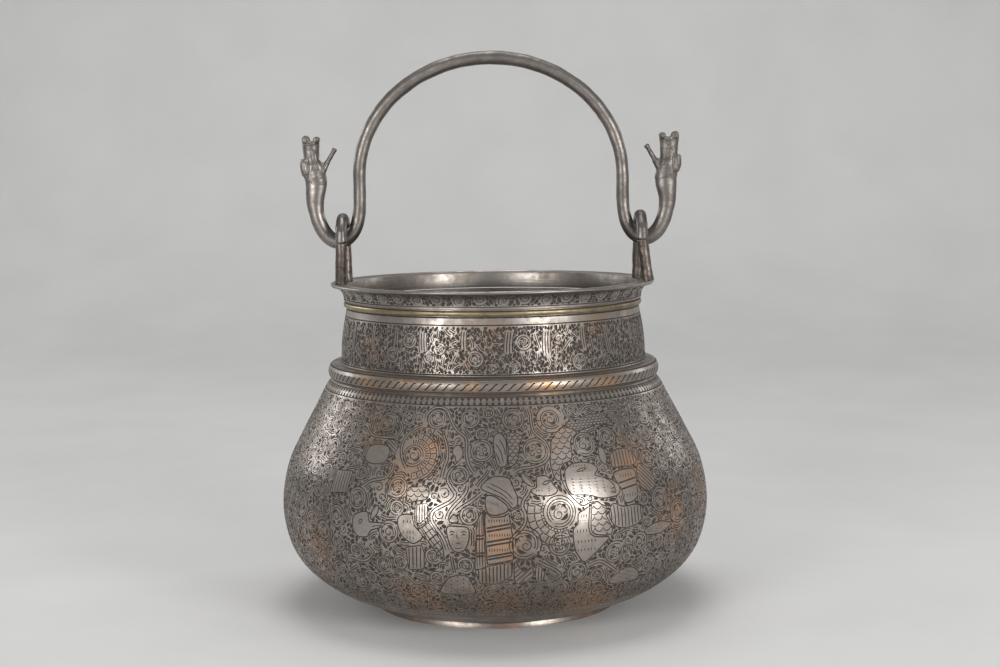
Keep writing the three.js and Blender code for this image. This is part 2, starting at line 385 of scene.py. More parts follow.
class Ground:
    """The plain metal left between the forms: for every half millimetre, how far the next form is"""
    cell = 0.5
    felt = 9  # how far from its edge a form is looked for

    def __init__(self, wall, top, bottom):
        self.wall, self.top = wall, top
        self.columns = int(wall.round / self.cell)
        self.rows = int((bottom - top) / self.cell) + 1
        w = np.arange(self.rows) * self.cell
        self.room = np.repeat(np.minimum(w, bottom - top - w)[:, None], self.columns, axis=1)

    def window(self, u, w, reach):
        """Rows, wrapped columns and the points of the cells near (u, w)"""
        span = int(reach / self.cell) + 1
        row, column = int((w - self.top) / self.cell), int((u + self.wall.round / 2) / self.cell)
        rows = np.arange(max(0, row - span), min(self.rows, row + span + 1))
        columns = np.arange(column - span, column + span + 1)
        points = np.stack(np.meshgrid(columns * self.cell - self.wall.round / 2,
                                      rows * self.cell + self.top), axis=-1)
        return np.ix_(rows, columns % self.columns), points

    def keep_round(self, u, w, radius):
        cells, points = self.window(u, w, radius + self.felt)
        away = np.hypot(points[..., 0] - u, points[..., 1] - w) - radius
        self.room[cells] = np.minimum(self.room[cells], away)

    def keep(self, polygon):
        middle = (polygon.max(0) + polygon.min(0)) / 2
        cells, points = self.window(*middle, max(polygon.max(0) - polygon.min(0)) / 2 + self.felt)
        nearest = np.full(points.shape[:2], 99.0)
        for a, b in zip(polygon, np.roll(polygon, -1, axis=0)):
            side = b - a
            f = np.clip(((points - a) @ side) / max(side @ side, 1e-9), 0, 1)
            nearest = np.minimum(nearest, np.hypot(*np.moveaxis(points - a - f[..., None] * side, -1, 0)))
        nearest[inside(polygon, points)] *= -1
        self.room[cells] = np.minimum(self.room[cells], nearest)

    def at(self, u, w):
        """How far the next form is from some points"""
        row = np.clip((w - self.top) / self.cell, 0, self.rows - 1.01)
        column = (u + self.wall.round / 2) / self.cell
        i, j = np.floor(row).astype(int), np.floor(column).astype(int)
        f, g, right = row - i, column - j, (j + 1) % self.columns
        j = j % self.columns
        return ((1 - f) * ((1 - g) * self.room[i, j] + g * self.room[i, right])
                + f * ((1 - g) * self.room[i + 1, j] + g * self.room[i + 1, right]))

    def outline(self, u, w, long, wide, sides, turn, margin):
        """The edge of the open ground as seen from (u, w), within an ellipse that lies along turn"""
        a = turn + np.arange(sides) * tau / sides
        far = np.full(sides, 0.1)
        reach = long * wide / np.hypot(wide * np.cos(a - turn), long * np.sin(a - turn))
        for _ in range(8):
            room = self.at(u + far * np.cos(a), w + far * np.sin(a))
            far = np.minimum(reach, far + np.maximum(room - margin, 0))
        return np.c_[u + far * np.cos(a), w + far * np.sin(a)]

    def best(self, free, score):
        """The free cell of the lowest score: its place, its room and the way to the next form"""
        row, column = free[np.argmin(score)]
        near = self.room[max(row - 1, 0), column] - self.room[min(row + 1, self.rows - 1), column]
        across = self.room[row, column - 1] - self.room[row, (column + 1) % self.columns]
        return (column * self.cell - self.wall.round / 2, row * self.cell + self.top,
                self.room[row, column], degrees(np.arctan2(near, across)))

    def open_spots(self, radius, most, chance, scatter=0.4):
        """One after the other, places with more room than the radius, the tightest first unless scattered"""
        for _ in range(most):
            free = np.argwhere(self.room > radius)
            if not len(free):
                return
            yield self.best(free, self.room[free[:, 0], free[:, 1]] + chance.random(len(free)) * scatter)

    def fitted(self, radius, gap, most, chance):
        """Places circles of this radius until none fits or most are in: small ones go against the forms
        that are there already, large ones anywhere"""
        circles = []
        while len(circles) < most:
            free = np.argwhere(self.room > radius + gap)
            if not len(free):
                break
            tight = self.room[free[:, 0], free[:, 1]] * (radius < 3) + chance.random(len(free)) * 0.5
            u, w, _, turn = self.best(free, tight)
            self.keep_round(u, w, radius)
            circles.append((u, w, radius, turn))
        return circles


def sink_ground(graver, ground, chance, sizes, margin=0.26, upright=False):
    """Cuts the open ground between the forms with short deep strokes, each along the form next to it"""
    for radius, long, wide, most in sizes:
        sides = 10 if radius > 0.7 else 8
        for u, w, _, turn in ground.open_spots(radius, most, chance):
            turn = 90 + 110 * (chance.random() - 0.5) if upright else turn + 90 + 50 * (chance.random() - 0.5)
            length = long * (0.75 + 0.5 * chance.random())
            outline = ground.outline(u, w, length, wide, sides, radians(turn), margin)
            graver.pit(u, w, outline)
            ground.keep(outline)


def beside(u, w, angle, reach):
    """The place at this reach from (u, w), at an angle in degrees"""
    return u + reach * cos(radians(angle)), w + reach * sin(radians(angle))


# dark cuts in a coil, three kinds: where each lies, how far out, its length and its width
SHADES = ([(75, 0.76, 1.15, 0.44), (172, 0.82, 0.55, 0.38), (262, 0.78, 0.85, 0.44)],
          [(20, 0.78, 1.2, 0.44), (130, 0.82, 0.6, 0.36), (190, 0.82, 0.6, 0.36), (255, 0.80, 0.7, 0.38)],
          [(62, 0.74, 0.85, 0.46), (180, 0.74, 0.75, 0.44), (298, 0.74, 0.85, 0.46)])


def roundel(graver, u, w, radius, turn, hand, kind):
    """A coil of stem, drawn as two rings, with a curled leaf of one of three kinds in it"""
    sweep = (turn, turn + 352 * hand)
    graver.arc(u, w, (1.13 * radius, 0.98 * radius), sweep, 0.5, 0.03)
    inner = radius - 1.3 if radius > 3.4 else radius
    if inner < radius:
        graver.arc(u, w, (1.16 * inner, 0.98 * inner), sweep, 0.45, 0.03)

    def lobe(at, reach, radii, angles, width=0.45):
        graver.arc(*beside(u, w, turn + hand * at, reach * inner), [part * inner for part in radii],
                   [turn + hand * angle for angle in angles], width)

    if kind == 0:
        lobe(0, 0.22, (0.56, 0.14), (-150, 330), 0.5)
        for at in (140, 205):
            lobe(at, 0.60, (0.25, 0.20), (at - 150, at + 110))
    elif kind == 1:
        lobe(0, 0, (0.72, 0.14), (-90, 400), 0.5)
    else:
        for at, size in ((0, 0.36), (125, 0.32), (235, 0.32)):
            lobe(at, 0.42, (size, 0.12), (at + 170, at + 560))
    for at, reach, long, wide in SHADES[kind]:
        at = turn + hand * at
        graver.leaf(*beside(u, w, at, reach * inner), at + 90, long * inner, wide * inner,
                    degrees(long / reach))


def curl(graver, u, w, radius, turn, hand):
    """A small tendril: a hook round a dark eye, and a leaf on its back"""
    graver.arc(u, w, (radius, 0.35 * radius), (turn, turn + 380 * hand), 0.5)
    graver.leaf(u, w, turn + 90, 0.8 * radius, 0.36 * radius, 90 * hand)
    back = turn - 45 * hand
    graver.leaf(*beside(u, w, back, 0.98 * radius), back + 90, radius, 0.34 * radius, 60)


def scroll_between(graver, ground, chance, sizes, gap=0.2, least_coil=2.7):
    """Sets coils of stem into the open ground, and small tendrils where only those fit"""
    for radius, most in sizes:
        for u, w, size, turn in ground.fitted(radius, gap, most, chance):
            hand = 1 if chance.random() < 0.5 else -1
            if radius >= least_coil:
                roundel(graver, u, w, size, turn, hand, int(chance.integers(3)))
            else:
                curl(graver, u, w, size, turn, hand)


def stem(graver, ground, path, half=0.72):
    """A long run of stem: two cuts side by side, and the room that it takes"""
    path = flowing(path)
    along = np.gradient(path, axis=0)
    across = np.c_[-along[:, 1], along[:, 0]] / np.hypot(*along.T)[:, None] * half
    graver.line(path + across, 0.55, 0.05)
    graver.line(path - across, 0.55, 0.05)
    for u, w in path[::4]:
        ground.keep_round(u, w, half + 0.3)


def tendrils(graver, ground, chance, sizes, half=0.55, apart=0.25, upright=False):
    """Runs short curved stems through the open ground: they turn away from the forms they come near"""
    step, feel, near = 0.6, 0.5, 1.6
    for radius, steps, most in sizes:
        for u, w, _, turn in ground.open_spots(radius, most, chance, 60.0):
            heading = radians(90 + 100 * (chance.random() - 0.5) if upright else turn + 90)
            bend = radians(26 * (chance.random() - 0.5))
            runs = []
            for way in (0, 1):
                point, angle, run = np.array([u, w]), heading + pi * way, []
                while len(run) < steps and ground.at(*point) > half + apart:
                    run.append(point)
                    x, y = point
                    away = np.arctan2(ground.at(x, y + feel) - ground.at(x, y - feel),
                                      ground.at(x + feel, y) - ground.at(x - feel, y))
                    angle += bend + 0.7 * max(0.0, near - ground.at(x, y)) * sin(away - angle)
                    point = point + step * np.array([cos(angle), sin(angle)])
                runs.append(run)
            path = np.array(runs[1][:0:-1] + runs[0])
            if len(path) > 7:
                stem(graver, ground, path[::3], half)


def runs_inside(polygon, path):
    """The stretches of a path that lie in a polygon"""
    within = inside(polygon, path)
    marks = np.flatnonzero(np.diff(within.astype(int))) + 1
    return [run for run in np.split(path, marks) if len(run) > 3 and inside(polygon, run[1:2])[0]]


def lines_across(graver, polygon, angle, pitch, width=0.45, dash=0.0, sway=0.0):
    """Parallel cuts over a form, whole or in rows of short dashes, bowed by sway"""
    middle, reach = polygon.mean(0), np.hypot(*(polygon.max(0) - polygon.min(0))) / 2 + 1
    heading = np.array([cos(radians(angle)), sin(radians(angle))])
    aside = np.array([-heading[1], heading[0]])
    step = 0.3
    f = np.arange(-reach, reach, step)
    for k, offset in enumerate(np.arange(-reach, reach, pitch)):
        bow = offset + sway * offset / reach * (f / reach) ** 2
        path = middle + f[:, None] * heading + bow[:, None] * aside
        for run in runs_inside(polygon, path):
            if not dash:
                graver.line(run, width, 0.1, longest=6)
                continue
            long = int(dash / step)
            for start in range(int(k % 2 * long * 0.8), len(run) - long, int(long * 1.7)):
                graver.line(run[start:start + long], width, 0.3)


def scales_over(graver, polygon, size, width=0.45):
    """Rows of overlapping scales or breast feathers"""
    low, high = polygon.min(0), polygon.max(0)
    a = np.linspace(0.05 * pi, 0.95 * pi, 14)
    for row, w in enumerate(np.arange(low[1] - size, high[1] + size, size * 0.62)):
        for u in np.arange(low[0] - size + row % 2 * size / 2, high[0] + size, size):
            path = np.c_[u + size * 0.5 * np.cos(a), w + size * 0.58 * np.sin(a)]
            for run in runs_inside(polygon, path):
                graver.line(run, width, 0.15)


class Net:
    """The points and edges that a rolled-out wall is cut up by, and how deep each point is sunk"""
    cell = 0.45  # what is near a cut is marked in squares of this size
    floor = 0.62  # the bottom of a pit beside its outline

    def __init__(self, start, end, foot):
        self.start, self.end, self.foot = start, end, foot
        self.points, self.depths, self.edges, self.sunk = [], [], [], {}
        self.busy = np.zeros((int(foot / self.cell) + 3, int((end - start) / self.cell) + 3), bool)

    def chain(self, line, depth, loop=False, first=None, last=None):
        """Adds points and the edges between them"""
        base = len(self.points)
        self.points.extend(line)
        self.depths.extend(np.broadcast_to(np.asarray(depth, float), len(line)).tolist())
        order = list(range(base, base + len(line)))
        if first is not None:
            order = [first] + order + [last]
        if loop:
            order.append(order[0])
        for pair in zip(order, order[1:]):
            deep = [self.depths[k] for k in pair]
            if max(deep) > 0:
                self.sunk[len(self.edges)] = sum(deep) / 2
            self.edges.append(pair)

    def ring(self, columns, w, width, deep):
        """A cut that runs all the way round"""
        for height, depth in ((w - width / 2, 0), (w, deep), (w + width / 2, 0)):
            self.chain([(u, height) for u in columns], depth)
        self.busy[int((w - width) / self.cell):int((w + width) / self.cell) + 2] = True

    def cut(self, path, half, deep, closed):
        """A groove: its two edges and its bottom"""
        ahead = np.roll(path, -1, 0) - np.roll(path, 1, 0) if closed else np.gradient(path, axis=0)
        across = np.c_[-ahead[:, 1], ahead[:, 0]] / (np.hypot(*ahead.T)[:, None] + 1e-9) * half[:, None]
        depth = deep * half / half.max()
        if closed:
            self.chain(path + across, 0, True)
            self.chain(path - across, 0, True)
            self.chain(path, depth, True)
        else:
            ends = len(self.points)
            self.points.extend([path[0], path[-1]])
            self.depths.extend([0.0, 0.0])
            body = slice(1, -1)
            for side, sink in ((across[body], 0), (-across[body], 0), (0, depth[body])):
                self.chain(path[body] + side, sink, first=ends, last=ends + 1)
        for part in np.arange(0, 1, 0.125):
            mark = path[:-1] + (path[1:] - path[:-1]) * part
            row = np.clip((mark[:, 1] / self.cell).astype(int), 0, self.busy.shape[0] - 2)
            column = np.clip(((mark[:, 0] - self.start) / self.cell).astype(int), 0, self.busy.shape[1] - 2)
            for i in (-1, 0, 1):
                for j in (-1, 0, 1):
                    self.busy[row + i, column + j] = True

    def pit(self, place, outline, deep):
        """A sunk piece of ground: its edge and its flat bottom"""
        self.chain(outline, 0, True)
        self.chain(place + (outline - place) * self.floor, deep, True)
        row, column = int(place[1] / self.cell), int((place[0] - self.start) / self.cell)
        self.busy[max(row - 3, 0):row + 4, max(column - 3, 0):max(column + 4, 0)] = True

    def fill(self, rows, plain):
        """Points on the plain metal, away from every cut"""
        for k, w in enumerate(rows):
            for u in np.arange(self.start + plain * (0.75 if k % 2 else 0.5), self.end - plain * 0.4,
                               plain):
                if not self.busy[int(w / self.cell), int((u - self.start) / self.cell)]:
                    self.points.append((u, w))
                    self.depths.append(0.0)

    def triangles(self):
        """The flat places, their depths, the faces, and where each of the first points went"""
        flat, joined, faces, from_points, from_edges, _ = delaunay_2d_cdt(
            [Vector(point) for point in self.points], self.edges, [], 0, 1e-5)
        flat = np.array([tuple(point) for point in flat])
        depth = np.array([max((self.depths[k] for k in origin), default=-1.0) for origin in from_points])
        for pair, origin in zip(joined, from_edges):
            for k in pair:
                if depth[k] < 0 or not from_points[k]:
                    depth[k] = max([depth[k]] + [self.sunk.get(edge, 0.0) for edge in origin])
        where = {origin: k for k, found in enumerate(from_points) for origin in found}
        faces = np.array(faces)[:, ::-1]
        middle = flat[faces].mean(1)
        kept = (middle[:, 0] > self.start) & (middle[:, 0] < self.end)
        kept &= (middle[:, 1] > 0) & (middle[:, 1] < self.foot)
        return flat, np.maximum(depth, 0), faces[kept], where


def engraved(name, wall, graver, lining, looks, stands_for, turns=(-180, 180), stations=192, plain=4.2):
    """The wall between two angles with its cuts as sharp grooves. The lining closes it: radius and
    height from the lower edge round the inside to the upper one. Plain metal has a point every
    few millimetres."""
    start, end = (radians(angle) * wall.mean for angle in turns)
    columns = np.linspace(start, end, stations + 1)
    past_cut, past_pit = 2, 3  # how far past an end a cut or a pit may lie and still reach in
    net = Net(start, end, wall.w[-1])
    rows = np.arange(plain, net.foot - plain / 2, plain)
    net.chain([(u, 0.0) for u in columns], 0)
    net.chain([(u, net.foot) for u in columns], 0)
    net.chain([(start, w) for w in rows], 0, first=0, last=stations + 1)
    net.chain([(end, w) for w in rows], 0, first=stations, last=2 * stations + 1)
    for w, width, deep in graver.rounds:
        net.ring(columns, w, width, deep)
    for line, half, deep, closed in graver.cuts:
        for shift in (-wall.round, 0.0, wall.round):
            path = line + (shift, 0)
            if path[:, 0].max() >= start - past_cut and path[:, 0].min() <= end + past_cut:
                net.cut(path, half, deep, closed)
    for place, edge, deep in graver.pits:
        for shift in (-wall.round, 0.0, wall.round):
            if start - past_pit < place[0] + shift < end + past_pit:
                net.pit(place + (shift, 0), edge + (shift, 0), deep)
    net.fill(rows, plain)
    flat, depth, faces, where = net.triangles()
    places, facing = (list(part) for part in wall.surface(flat[:, 0], flat[:, 1], depth))

    rings = [[where[stations + 1 + k] for k in range(stations + 1)]]
    for r, z in lining:
        ring = []
        for angle in (columns / wall.mean if r > 0 else [0]):
            ring.append(len(places))
            places.append((r * sin(angle) * MM, -r * cos(angle) * MM, z * MM))
            facing.append((0, 0, 0))
        rings.append(ring * (1 if r > 0 else stations + 1))
    rings.append([where[k] for k in range(stations + 1)])
    quads = [face for a, b in zip(rings, rings[1:]) for face in zip(a, b, b[1:], a[1:])]
    quads = [face for face in (tuple(dict.fromkeys(face)) for face in quads) if len(face) > 2]
    mesh = bpy.data.meshes.new(name)
    skin = [tuple(face) for face in faces.tolist()] + quads
    mesh.from_pydata([tuple(place) for place in places], [], skin)
    in_a_cut = np.r_[depth[faces].max(1) > 0, np.zeros(len(quads), bool)].astype(np.int32)
    mesh.polygons.foreach_set("material_index", in_a_cut)
    marks = mesh.attributes.new("facing", "FLOAT_VECTOR", "POINT")
    marks.data.foreach_set("vector", np.array(facing, np.float32).ravel())

    form = bmesh.new()
    form.from_mesh(mesh)
    bmesh.ops.delete(form, geom=[v for v in form.verts if not v.link_faces], context="VERTS")
    if end - start > wall.round - 1e-6:
        bmesh.ops.remove_doubles(form, verts=[v for v in form.verts if v.is_boundary], dist=2e-6)
    else:
        bmesh.ops.holes_fill(form, edges=[e for e in form.edges if e.is_boundary], sides=0)
    bmesh.ops.triangulate(form, faces=[f for f in form.faces if len(f.verts) > 4])
    smoothed(form, mesh, 40)
    face_true_wall(mesh)
    placed(mesh, looks, "vessel", stands_for)


def face_true_wall(mesh):
    """Shades the plain metal as the round wall that it is, and the cuts as flat sides"""

    def read(items, what, kind, width=1):
        values = np.zeros(len(items) * width, kind)
        items.foreach_get(what, values)
        return values.reshape(-1, width) if width > 1 else values

    facing = read(mesh.attributes["facing"].data, "vector", np.float32, 3)
    facing = facing[read(mesh.loops, "vertex_index", np.int32)]
    mesh.attributes.remove(mesh.attributes["facing"])
    sides = read(mesh.polygons, "loop_total", np.int32)
    owner = np.repeat(np.arange(len(sides)), sides)
    square = read(mesh.polygons, "normal", np.float32, 3)[owner]
    in_a_cut = read(mesh.polygons, "material_index", np.int32)[owner] == 1
    steep = in_a_cut | ((facing * square).sum(1) < 0.5)
    lined = np.logical_or.reduceat(~facing.any(1), np.r_[0, np.cumsum(sides)[:-1]])[owner]
    facing[steep] = square[steep]
    facing[lined] = 0
    mesh.normals_split_custom_set(facing.tolist())


BELLY = [(95.0, 135.6), (98, 132), (103, 122.5), (112.3, 105), (121, 86.5), (124.8, 64), (121.6, 43.5),
         (113.3, 28.8), (99, 16.8), (86.5, 10.7), (73.5, 5.7), (66, 4.4)]
THICK = 1.6
belly_path = flowing(BELLY, 0.5)
belly_wall = Wall(belly_path, 112.0)
lean = np.gradient(belly_path, axis=0)
lean /= np.hypot(*lean.T)[:, None]
belly_inside = (belly_path + np.c_[lean[:, 1], -lean[:, 0]] * THICK)[::-1][8:]
belly_lining = [(40.0, 4.4), (0.0, 4.4), (0.0, 6.0), (40.0, 6.0), (64.0, 6.05)] + [
    tuple(p) for p in belly_inside[::12]] + [tuple(belly_inside[-1])]
TOP = 6.05  # from the upper edge of the bowl down to the top line of the figures


def figures(graver, ground, turn, hand):
    """The figure scene of one side, at angles from its middle and distances down from its top line"""
    wall = graver.wall

    def spot(angle, down):
        return wall.spot(turn + hand * angle, down + TOP)

    def through(points, step=0.6, closed=False):
        return flowing(np.array([spot(*p) for p in points]), step, closed)

    def trace(width, *points, taper=0.12):
        """A cut along a smooth line, with a little room kept round it"""
        line = through(points, 0.4)
        graver.line(line, width, taper)
        for u, w in line[::3]:
            ground.keep_round(u, w, 0.35)

    def form(*corners, sharp=False):
        """The outline of a closed form"""
        outline = np.array([spot(*corner) for corner in corners]) if sharp else through(corners, 0.6, True)
        graver.line(np.vstack([outline, outline[:1]]), 0.6, closed=True)
        ground.keep(outline)
        return outline

    def hatch(outline, angle, pitch, width=0.45, **how):
        """Parallel cuts over a form, which lean the other way on the mirrored side"""
        lines_across(graver, outline, angle if hand > 0 else 180 - angle, pitch, width, **how)

    def ticks(rows, angles, long, lean):
        """Rows of short cuts: the height of each row, the angles along it, the size of one and its lean"""
        for down in rows:
            for angle in angles:
                u, w = spot(angle, down)
                graver.leaf(u, w, lean if hand > 0 else 180 - lean, long, 0.5)

    def rings(angle, down, radii, turns, width=0.5):
        u, w = spot(angle, down)
        first, final = turns if hand > 0 else (180 - turns[1], 180 - turns[0])
        for radius in radii:
            if final - first >= 360:
                graver.circle(u, w, radius, width)
            else:
                graver.arc(u, w, (radius, radius), (first, final), width, 0.03)

    def blocks(angle, down, inner, outer, turns, size, dots=True):
        """A ring of square blocks between two radii, drawn by the cuts across it"""
        u, w = spot(angle, down)
        first, final = turns if hand > 0 else (180 - turns[1], 180 - turns[0])
        middle = (inner + outer) / 2
        count = int(radians(final - first) * middle / size)
        for k in range(count + 1):
            a = radians(first + (final - first) * k / count)
            graver.line(np.array([(u + r * cos(a), w + r * sin(a)) for r in (inner, outer)]), 0.5, 0.1)
            if k < count:
                a += radians((final - first) / count / 2)
                if dots:
                    graver.leaf(u + middle * cos(a), w + middle * sin(a), degrees(a), 1.0, 0.6)
                ground.keep_round(u + middle * cos(a), w + middle * sin(a), (outer - inner) / 2 + 0.4)

    # a coil with fringes and a ring of blocks, and a second one with two rows of bricks
    rings(-22.3, 28.5, (9.6, 13.0), (-85, 85))
    rings(-22.3, 28.5, (14.4, 15.6), (-62, 70))
    blocks(-22.3, 28.5, 9.6, 13.0, (-85, 85), 3.0)
    blocks(-22.3, 28.5, 6.4, 9.0, (-100, 60), 1.3, dots=False)
    ground.keep_round(*spot(-22.3, 28.5), 9.6)
    roundel(graver, *spot(-22.3, 28.5), 5.6, 20, hand, 1)
    roundel(graver, *spot(16.1, 59.4), 6.2, 120, -hand, 0)
    rings(16.1, 59.4, (8.0, 9.3), (60, 215))
    blocks(16.1, 59.4, 8.0, 9.3, (70, 205), 1.5, dots=False)
    rings(16.1, 59.4, (8.0,), (215, 420))
    rings(16.1, 59.4, (12.4, 15.8), (68, 200))
    blocks(16.1, 59.4, 9.3, 12.4, (68, 200), 3.2, dots=False)
    blocks(16.1, 59.4, 12.4, 15.8, (72, 196), 3.8, dots=False)
    ground.keep_round(*spot(16.1, 59.4), 9.0)

    # coils of stem round a leaf
    coils = [(-16.8, 7.5, 5.7), (-6.9, 7.0, 5.5), (-3.3, 25.0, 5.9), (6.0, 8.0, 6.2), (17.1, 8.6, 5.3),
             (11.4, 25.6, 6.6), (-8.9, 38.7, 4.7), (-6.0, 59.6, 4.4), (25.0, 4.8, 4.2), (26.0, 23.8, 6.3),
             (34.0, 21.4, 5.5), (16.0, 76.4, 5.2), (7.1, 75.2, 6.6), (20.7, 93.0, 5.2), (16.6, 103.2, 5.4),
             (-33.0, 11.0, 5.7), (-26.2, 7.4, 4.6), (-25.2, 46.2, 5.0), (-36.8, 54.6, 5.2),
             (-26.6, 70.4, 5.0), (-15.0, 81.6, 3.9), (-7.2, 86.4, 4.0), (-43.4, 66, 5.2), (-44, 97, 5.2),
             (-28.5, 89, 4.6), (-20.5, 104.6, 4.6), (5.6, 60.0, 3.0), (46.8, 60, 6.0), (43.6, 24, 5.2),
             (52, 12, 5.6), (-52, 30, 5.8), (-50, 12, 5.2), (51, 84, 5.4), (-53, 84, 5.0),
             (38.6, 80.6, 4.6), (31.0, 84, 5.2)]
    for k, (angle, down, radius) in enumerate(coils):
        u, w = spot(angle, down)
        roundel(graver, u, w, radius, 90 * k + 40, hand * (-1) ** k, k % 3)
        ground.keep_round(u, w, radius)
    rings(17.1, 8.6, (8.3,), (20, 340))
    blocks(17.1, 8.6, 5.9, 8.0, (118, 176), 2.4, dots=False)
    ground.keep_round(*spot(17.1, 8.6), 8.2)
    rings(-33.0, 11.0, (8.0,), (-60, 110))
    rings(34.0, 21.4, (7.4,), (110, 300))
    rings(26.0, 23.8, (8.1,), (-70, 60))
    rings(7.1, 75.2, (8.3,), (-75, 70))
    rings(-25.2, 46.2, (6.5,), (40, 300))
    curls = [(-12.4, 48.6, 3.1, 1), (-13.3, 59.4, 2.5, -1), (7.3, 30.3, 1.7, 1), (5.5, 42.6, 2.4, -1),
             (-22.7, 7.4, 2.6, 1), (-30.6, 47.2, 2.8, 1), (24.4, 53.4, 1.7, -1), (31.6, 51.0, 1.6, 1),
             (9.2, 12.4, 1.9, -1), (-14.6, 15.6, 1.6, 1)]
    for angle, down, radius, side in curls:
        u, w = spot(angle, down)
        curl(graver, u, w, radius, 200, hand * side)
        ground.keep_round(u, w, radius + 0.2)

    # long stems that wind between them
    stems = [[(-20.6, 9.4), (-20.2, 4.6), (-17.6, 1.2), (-14.4, 2.4), (-12.9, 7), (-11.3, 12), (-9.6, 15.2),
              (-8, 17.6), (-7.5, 21), (-7.4, 26), (-6.9, 31), (-5.8, 35.4), (-4.4, 38.4)],
             [(-16.4, 13.6), (-14.4, 16.6), (-13.4, 20.5), (-12.7, 25), (-12.6, 30), (-13.2, 35),
              (-13.6, 41)],
             [(-8.6, 30.6), (-9.8, 33), (-11.4, 36.4), (-11.9, 41), (-10.7, 45.4), (-9.6, 49),
              (-10.8, 52.6), (-13, 55.2), (-15.0, 58), (-15.4, 62), (-14.2, 66.4), (-12.9, 70), (-12.0, 74),
              (-11.3, 79)],
             [(-6.6, 43.6), (-7.0, 47.4), (-8.2, 51), (-9.9, 54.8), (-11.2, 59), (-11.6, 62.6)],
             [(-2.9, 47.4), (-4.2, 50), (-6.0, 52.8), (-7.9, 55.4), (-9.4, 58)],
             [(10.5, 1.0), (11.2, 5), (11.2, 10), (11.5, 14.4), (12.9, 18), (14.6, 21.4), (15.3, 26),
              (14.6, 30.4), (12.6, 33.4), (9.6, 34.8), (6.8, 35.4), (4.8, 37.8)],
             [(14.3, 33), (13.7, 36), (14.2, 39)],
             [(21.6, 2.6), (22.8, 7.6), (25.6, 9.6)],
             [(27.4, 6), (29.4, 3.2), (32, 3.0), (34.6, 5.2)],
             [(37.0, 6.0), (38.4, 10.4), (39.4, 15), (41.2, 19.4), (44.4, 17.4)],
             [(8.9, 46.4), (8.4, 49), (7.3, 52), (6.9, 55.4), (7.5, 58.8), (7.5, 63), (6.6, 66.6),
              (4.9, 69.6)],
             [(-20.6, 11.6), (-22.8, 13.4), (-24.9, 16.4), (-26.2, 21), (-26.3, 26), (-25.2, 31.4),
              (-23.4, 36.4)],
             [(-29.8, 4), (-29.2, 9), (-27.6, 13.4), (-28.8, 18.6), (-33, 19.6), (-37.4, 19), (-40.6, 14)],
             [(-27.6, 33), (-27.8, 38), (-29.4, 42), (-33.4, 44.4), (-35.6, 48)],
             [(10.2, 84.4), (12.4, 87.4), (14.6, 90), (16.4, 94.2), (14.0, 97)],
             [(23.4, 90), (26.6, 88), (29.4, 91), (32.6, 96)],
             [(-22.6, 93.6), (-20.4, 98.6), (-18.2, 97.2), (-16.8, 99.4), (-14.8, 100.6)],
             [(-33, 78.6), (-31.6, 83), (-34.6, 88), (-39.6, 87.4)]]
    for path in stems:
        stem(graver, ground, np.array([spot(*p) for p in path]))

    # a bud, leaves and pods on the stems
    form((-10.8, 22.8), (-9.4, 22.2), (-8.3, 25.6), (-8.7, 29.2), (-9.9, 31.4), (-10.4, 28.6), (-11.3, 26))
    form((-10.9, 63.2), (-10.5, 60.6), (-9.7, 59.2), (-8.9, 61), (-8.9, 63.2))
    form((7.1, 37.6), (8.6, 39.2), (10.1, 43), (10.2, 45.0), (8.9, 44.6), (7.3, 41.4))
    trace(0.4, (7.8, 39), (9.0, 41.4), (9.8, 44.2))
    form((30.2, 26.6), (31.7, 28), (31.9, 33), (31.0, 36.4), (29.7, 33.2))
    form((-31.9, 64.8), (-31.7, 60.2), (-30.1, 56.8), (-30.1, 61.2))

    # the winged figure in the middle, in a plain cape and a belted tunic with pleats
    form((0.2, 17.2), (1.8, 15.4), (3.4, 19), (3.6, 25), (3.4, 33), (1.2, 33.6), (0.4, 28), (0.0, 22))
    for points in ([(0.5, 21), (2.0, 26), (2.6, 32.4)], [(1.6, 18.4), (2.9, 23.6), (3.2, 28)],
                   [(0.5, 26), (1.4, 30), (1.7, 33)]):
        trace(0.5, *points)
    scales_over(graver, form((3.8, 16.2), (6.2, 15.4), (8.2, 17.8), (7.3, 22), (6.9, 26.8), (6.1, 31.4),
                             (5.2, 33.4), (3.9, 33.2), (4.1, 25)), 3.1)
    form((-3.2, 45.6), (-2.4, 42.2), (0.0, 39.2), (3.2, 39.8), (4.4, 42), (5.0, 46), (5.8, 50.6),
         (5.6, 54.8), (4.4, 56), (3.3, 53.2), (1.6, 50.4), (-0.8, 48.2))
    for points in ([(-2.2, 44.0), (0.4, 46.8), (2.6, 49.6), (4.2, 53.6)],
                   [(-1.4, 42.6), (1.2, 45.2), (3.4, 48.4), (4.9, 52.4)],
                   [(3.1, 50.4), (3.8, 52.2), (4.6, 54.6)]):
        trace(0.4, *points)
    form((-2.0, 49.8), (-0.4, 49.4), (1.4, 51.6), (3.1, 54.6), (3.2, 57.6), (0.8, 59.5), (-1.3, 58.8),
         (-2.1, 55))
    for k in range(6):
        trace(0.3, (-1.5 + 0.5 * k, 51 + 0.35 * k), (-1.5 + 0.5 * k, 54 + 0.3 * k), taper=0.4)
    tunic = form((-2.4, 57.4), (-0.6, 60.6), (2.2, 60.4), (3.6, 58.6), (3.9, 64), (4.4, 72), (4.5, 83.4),
                 (-1.8, 86), (-2.1, 72), sharp=True)
    for down in (65.6, 67.4, 73.0, 75.0, 80.8, 82.4):
        belt = through([(a, down - 0.36 * a) for a in np.arange(-2.0, 5.2, 0.8)], 0.3)
        for run in runs_inside(tunic, belt):
            graver.line(run, 0.95, 0.05, longest=8)
    for down, low in ((62.4, 0.9), (70.0, 1.1), (77.8, 1.0), (85.4, 0.2)):
        ticks([down], [k * 0.62 for k in range(-2, 7)], 2.0, 90)
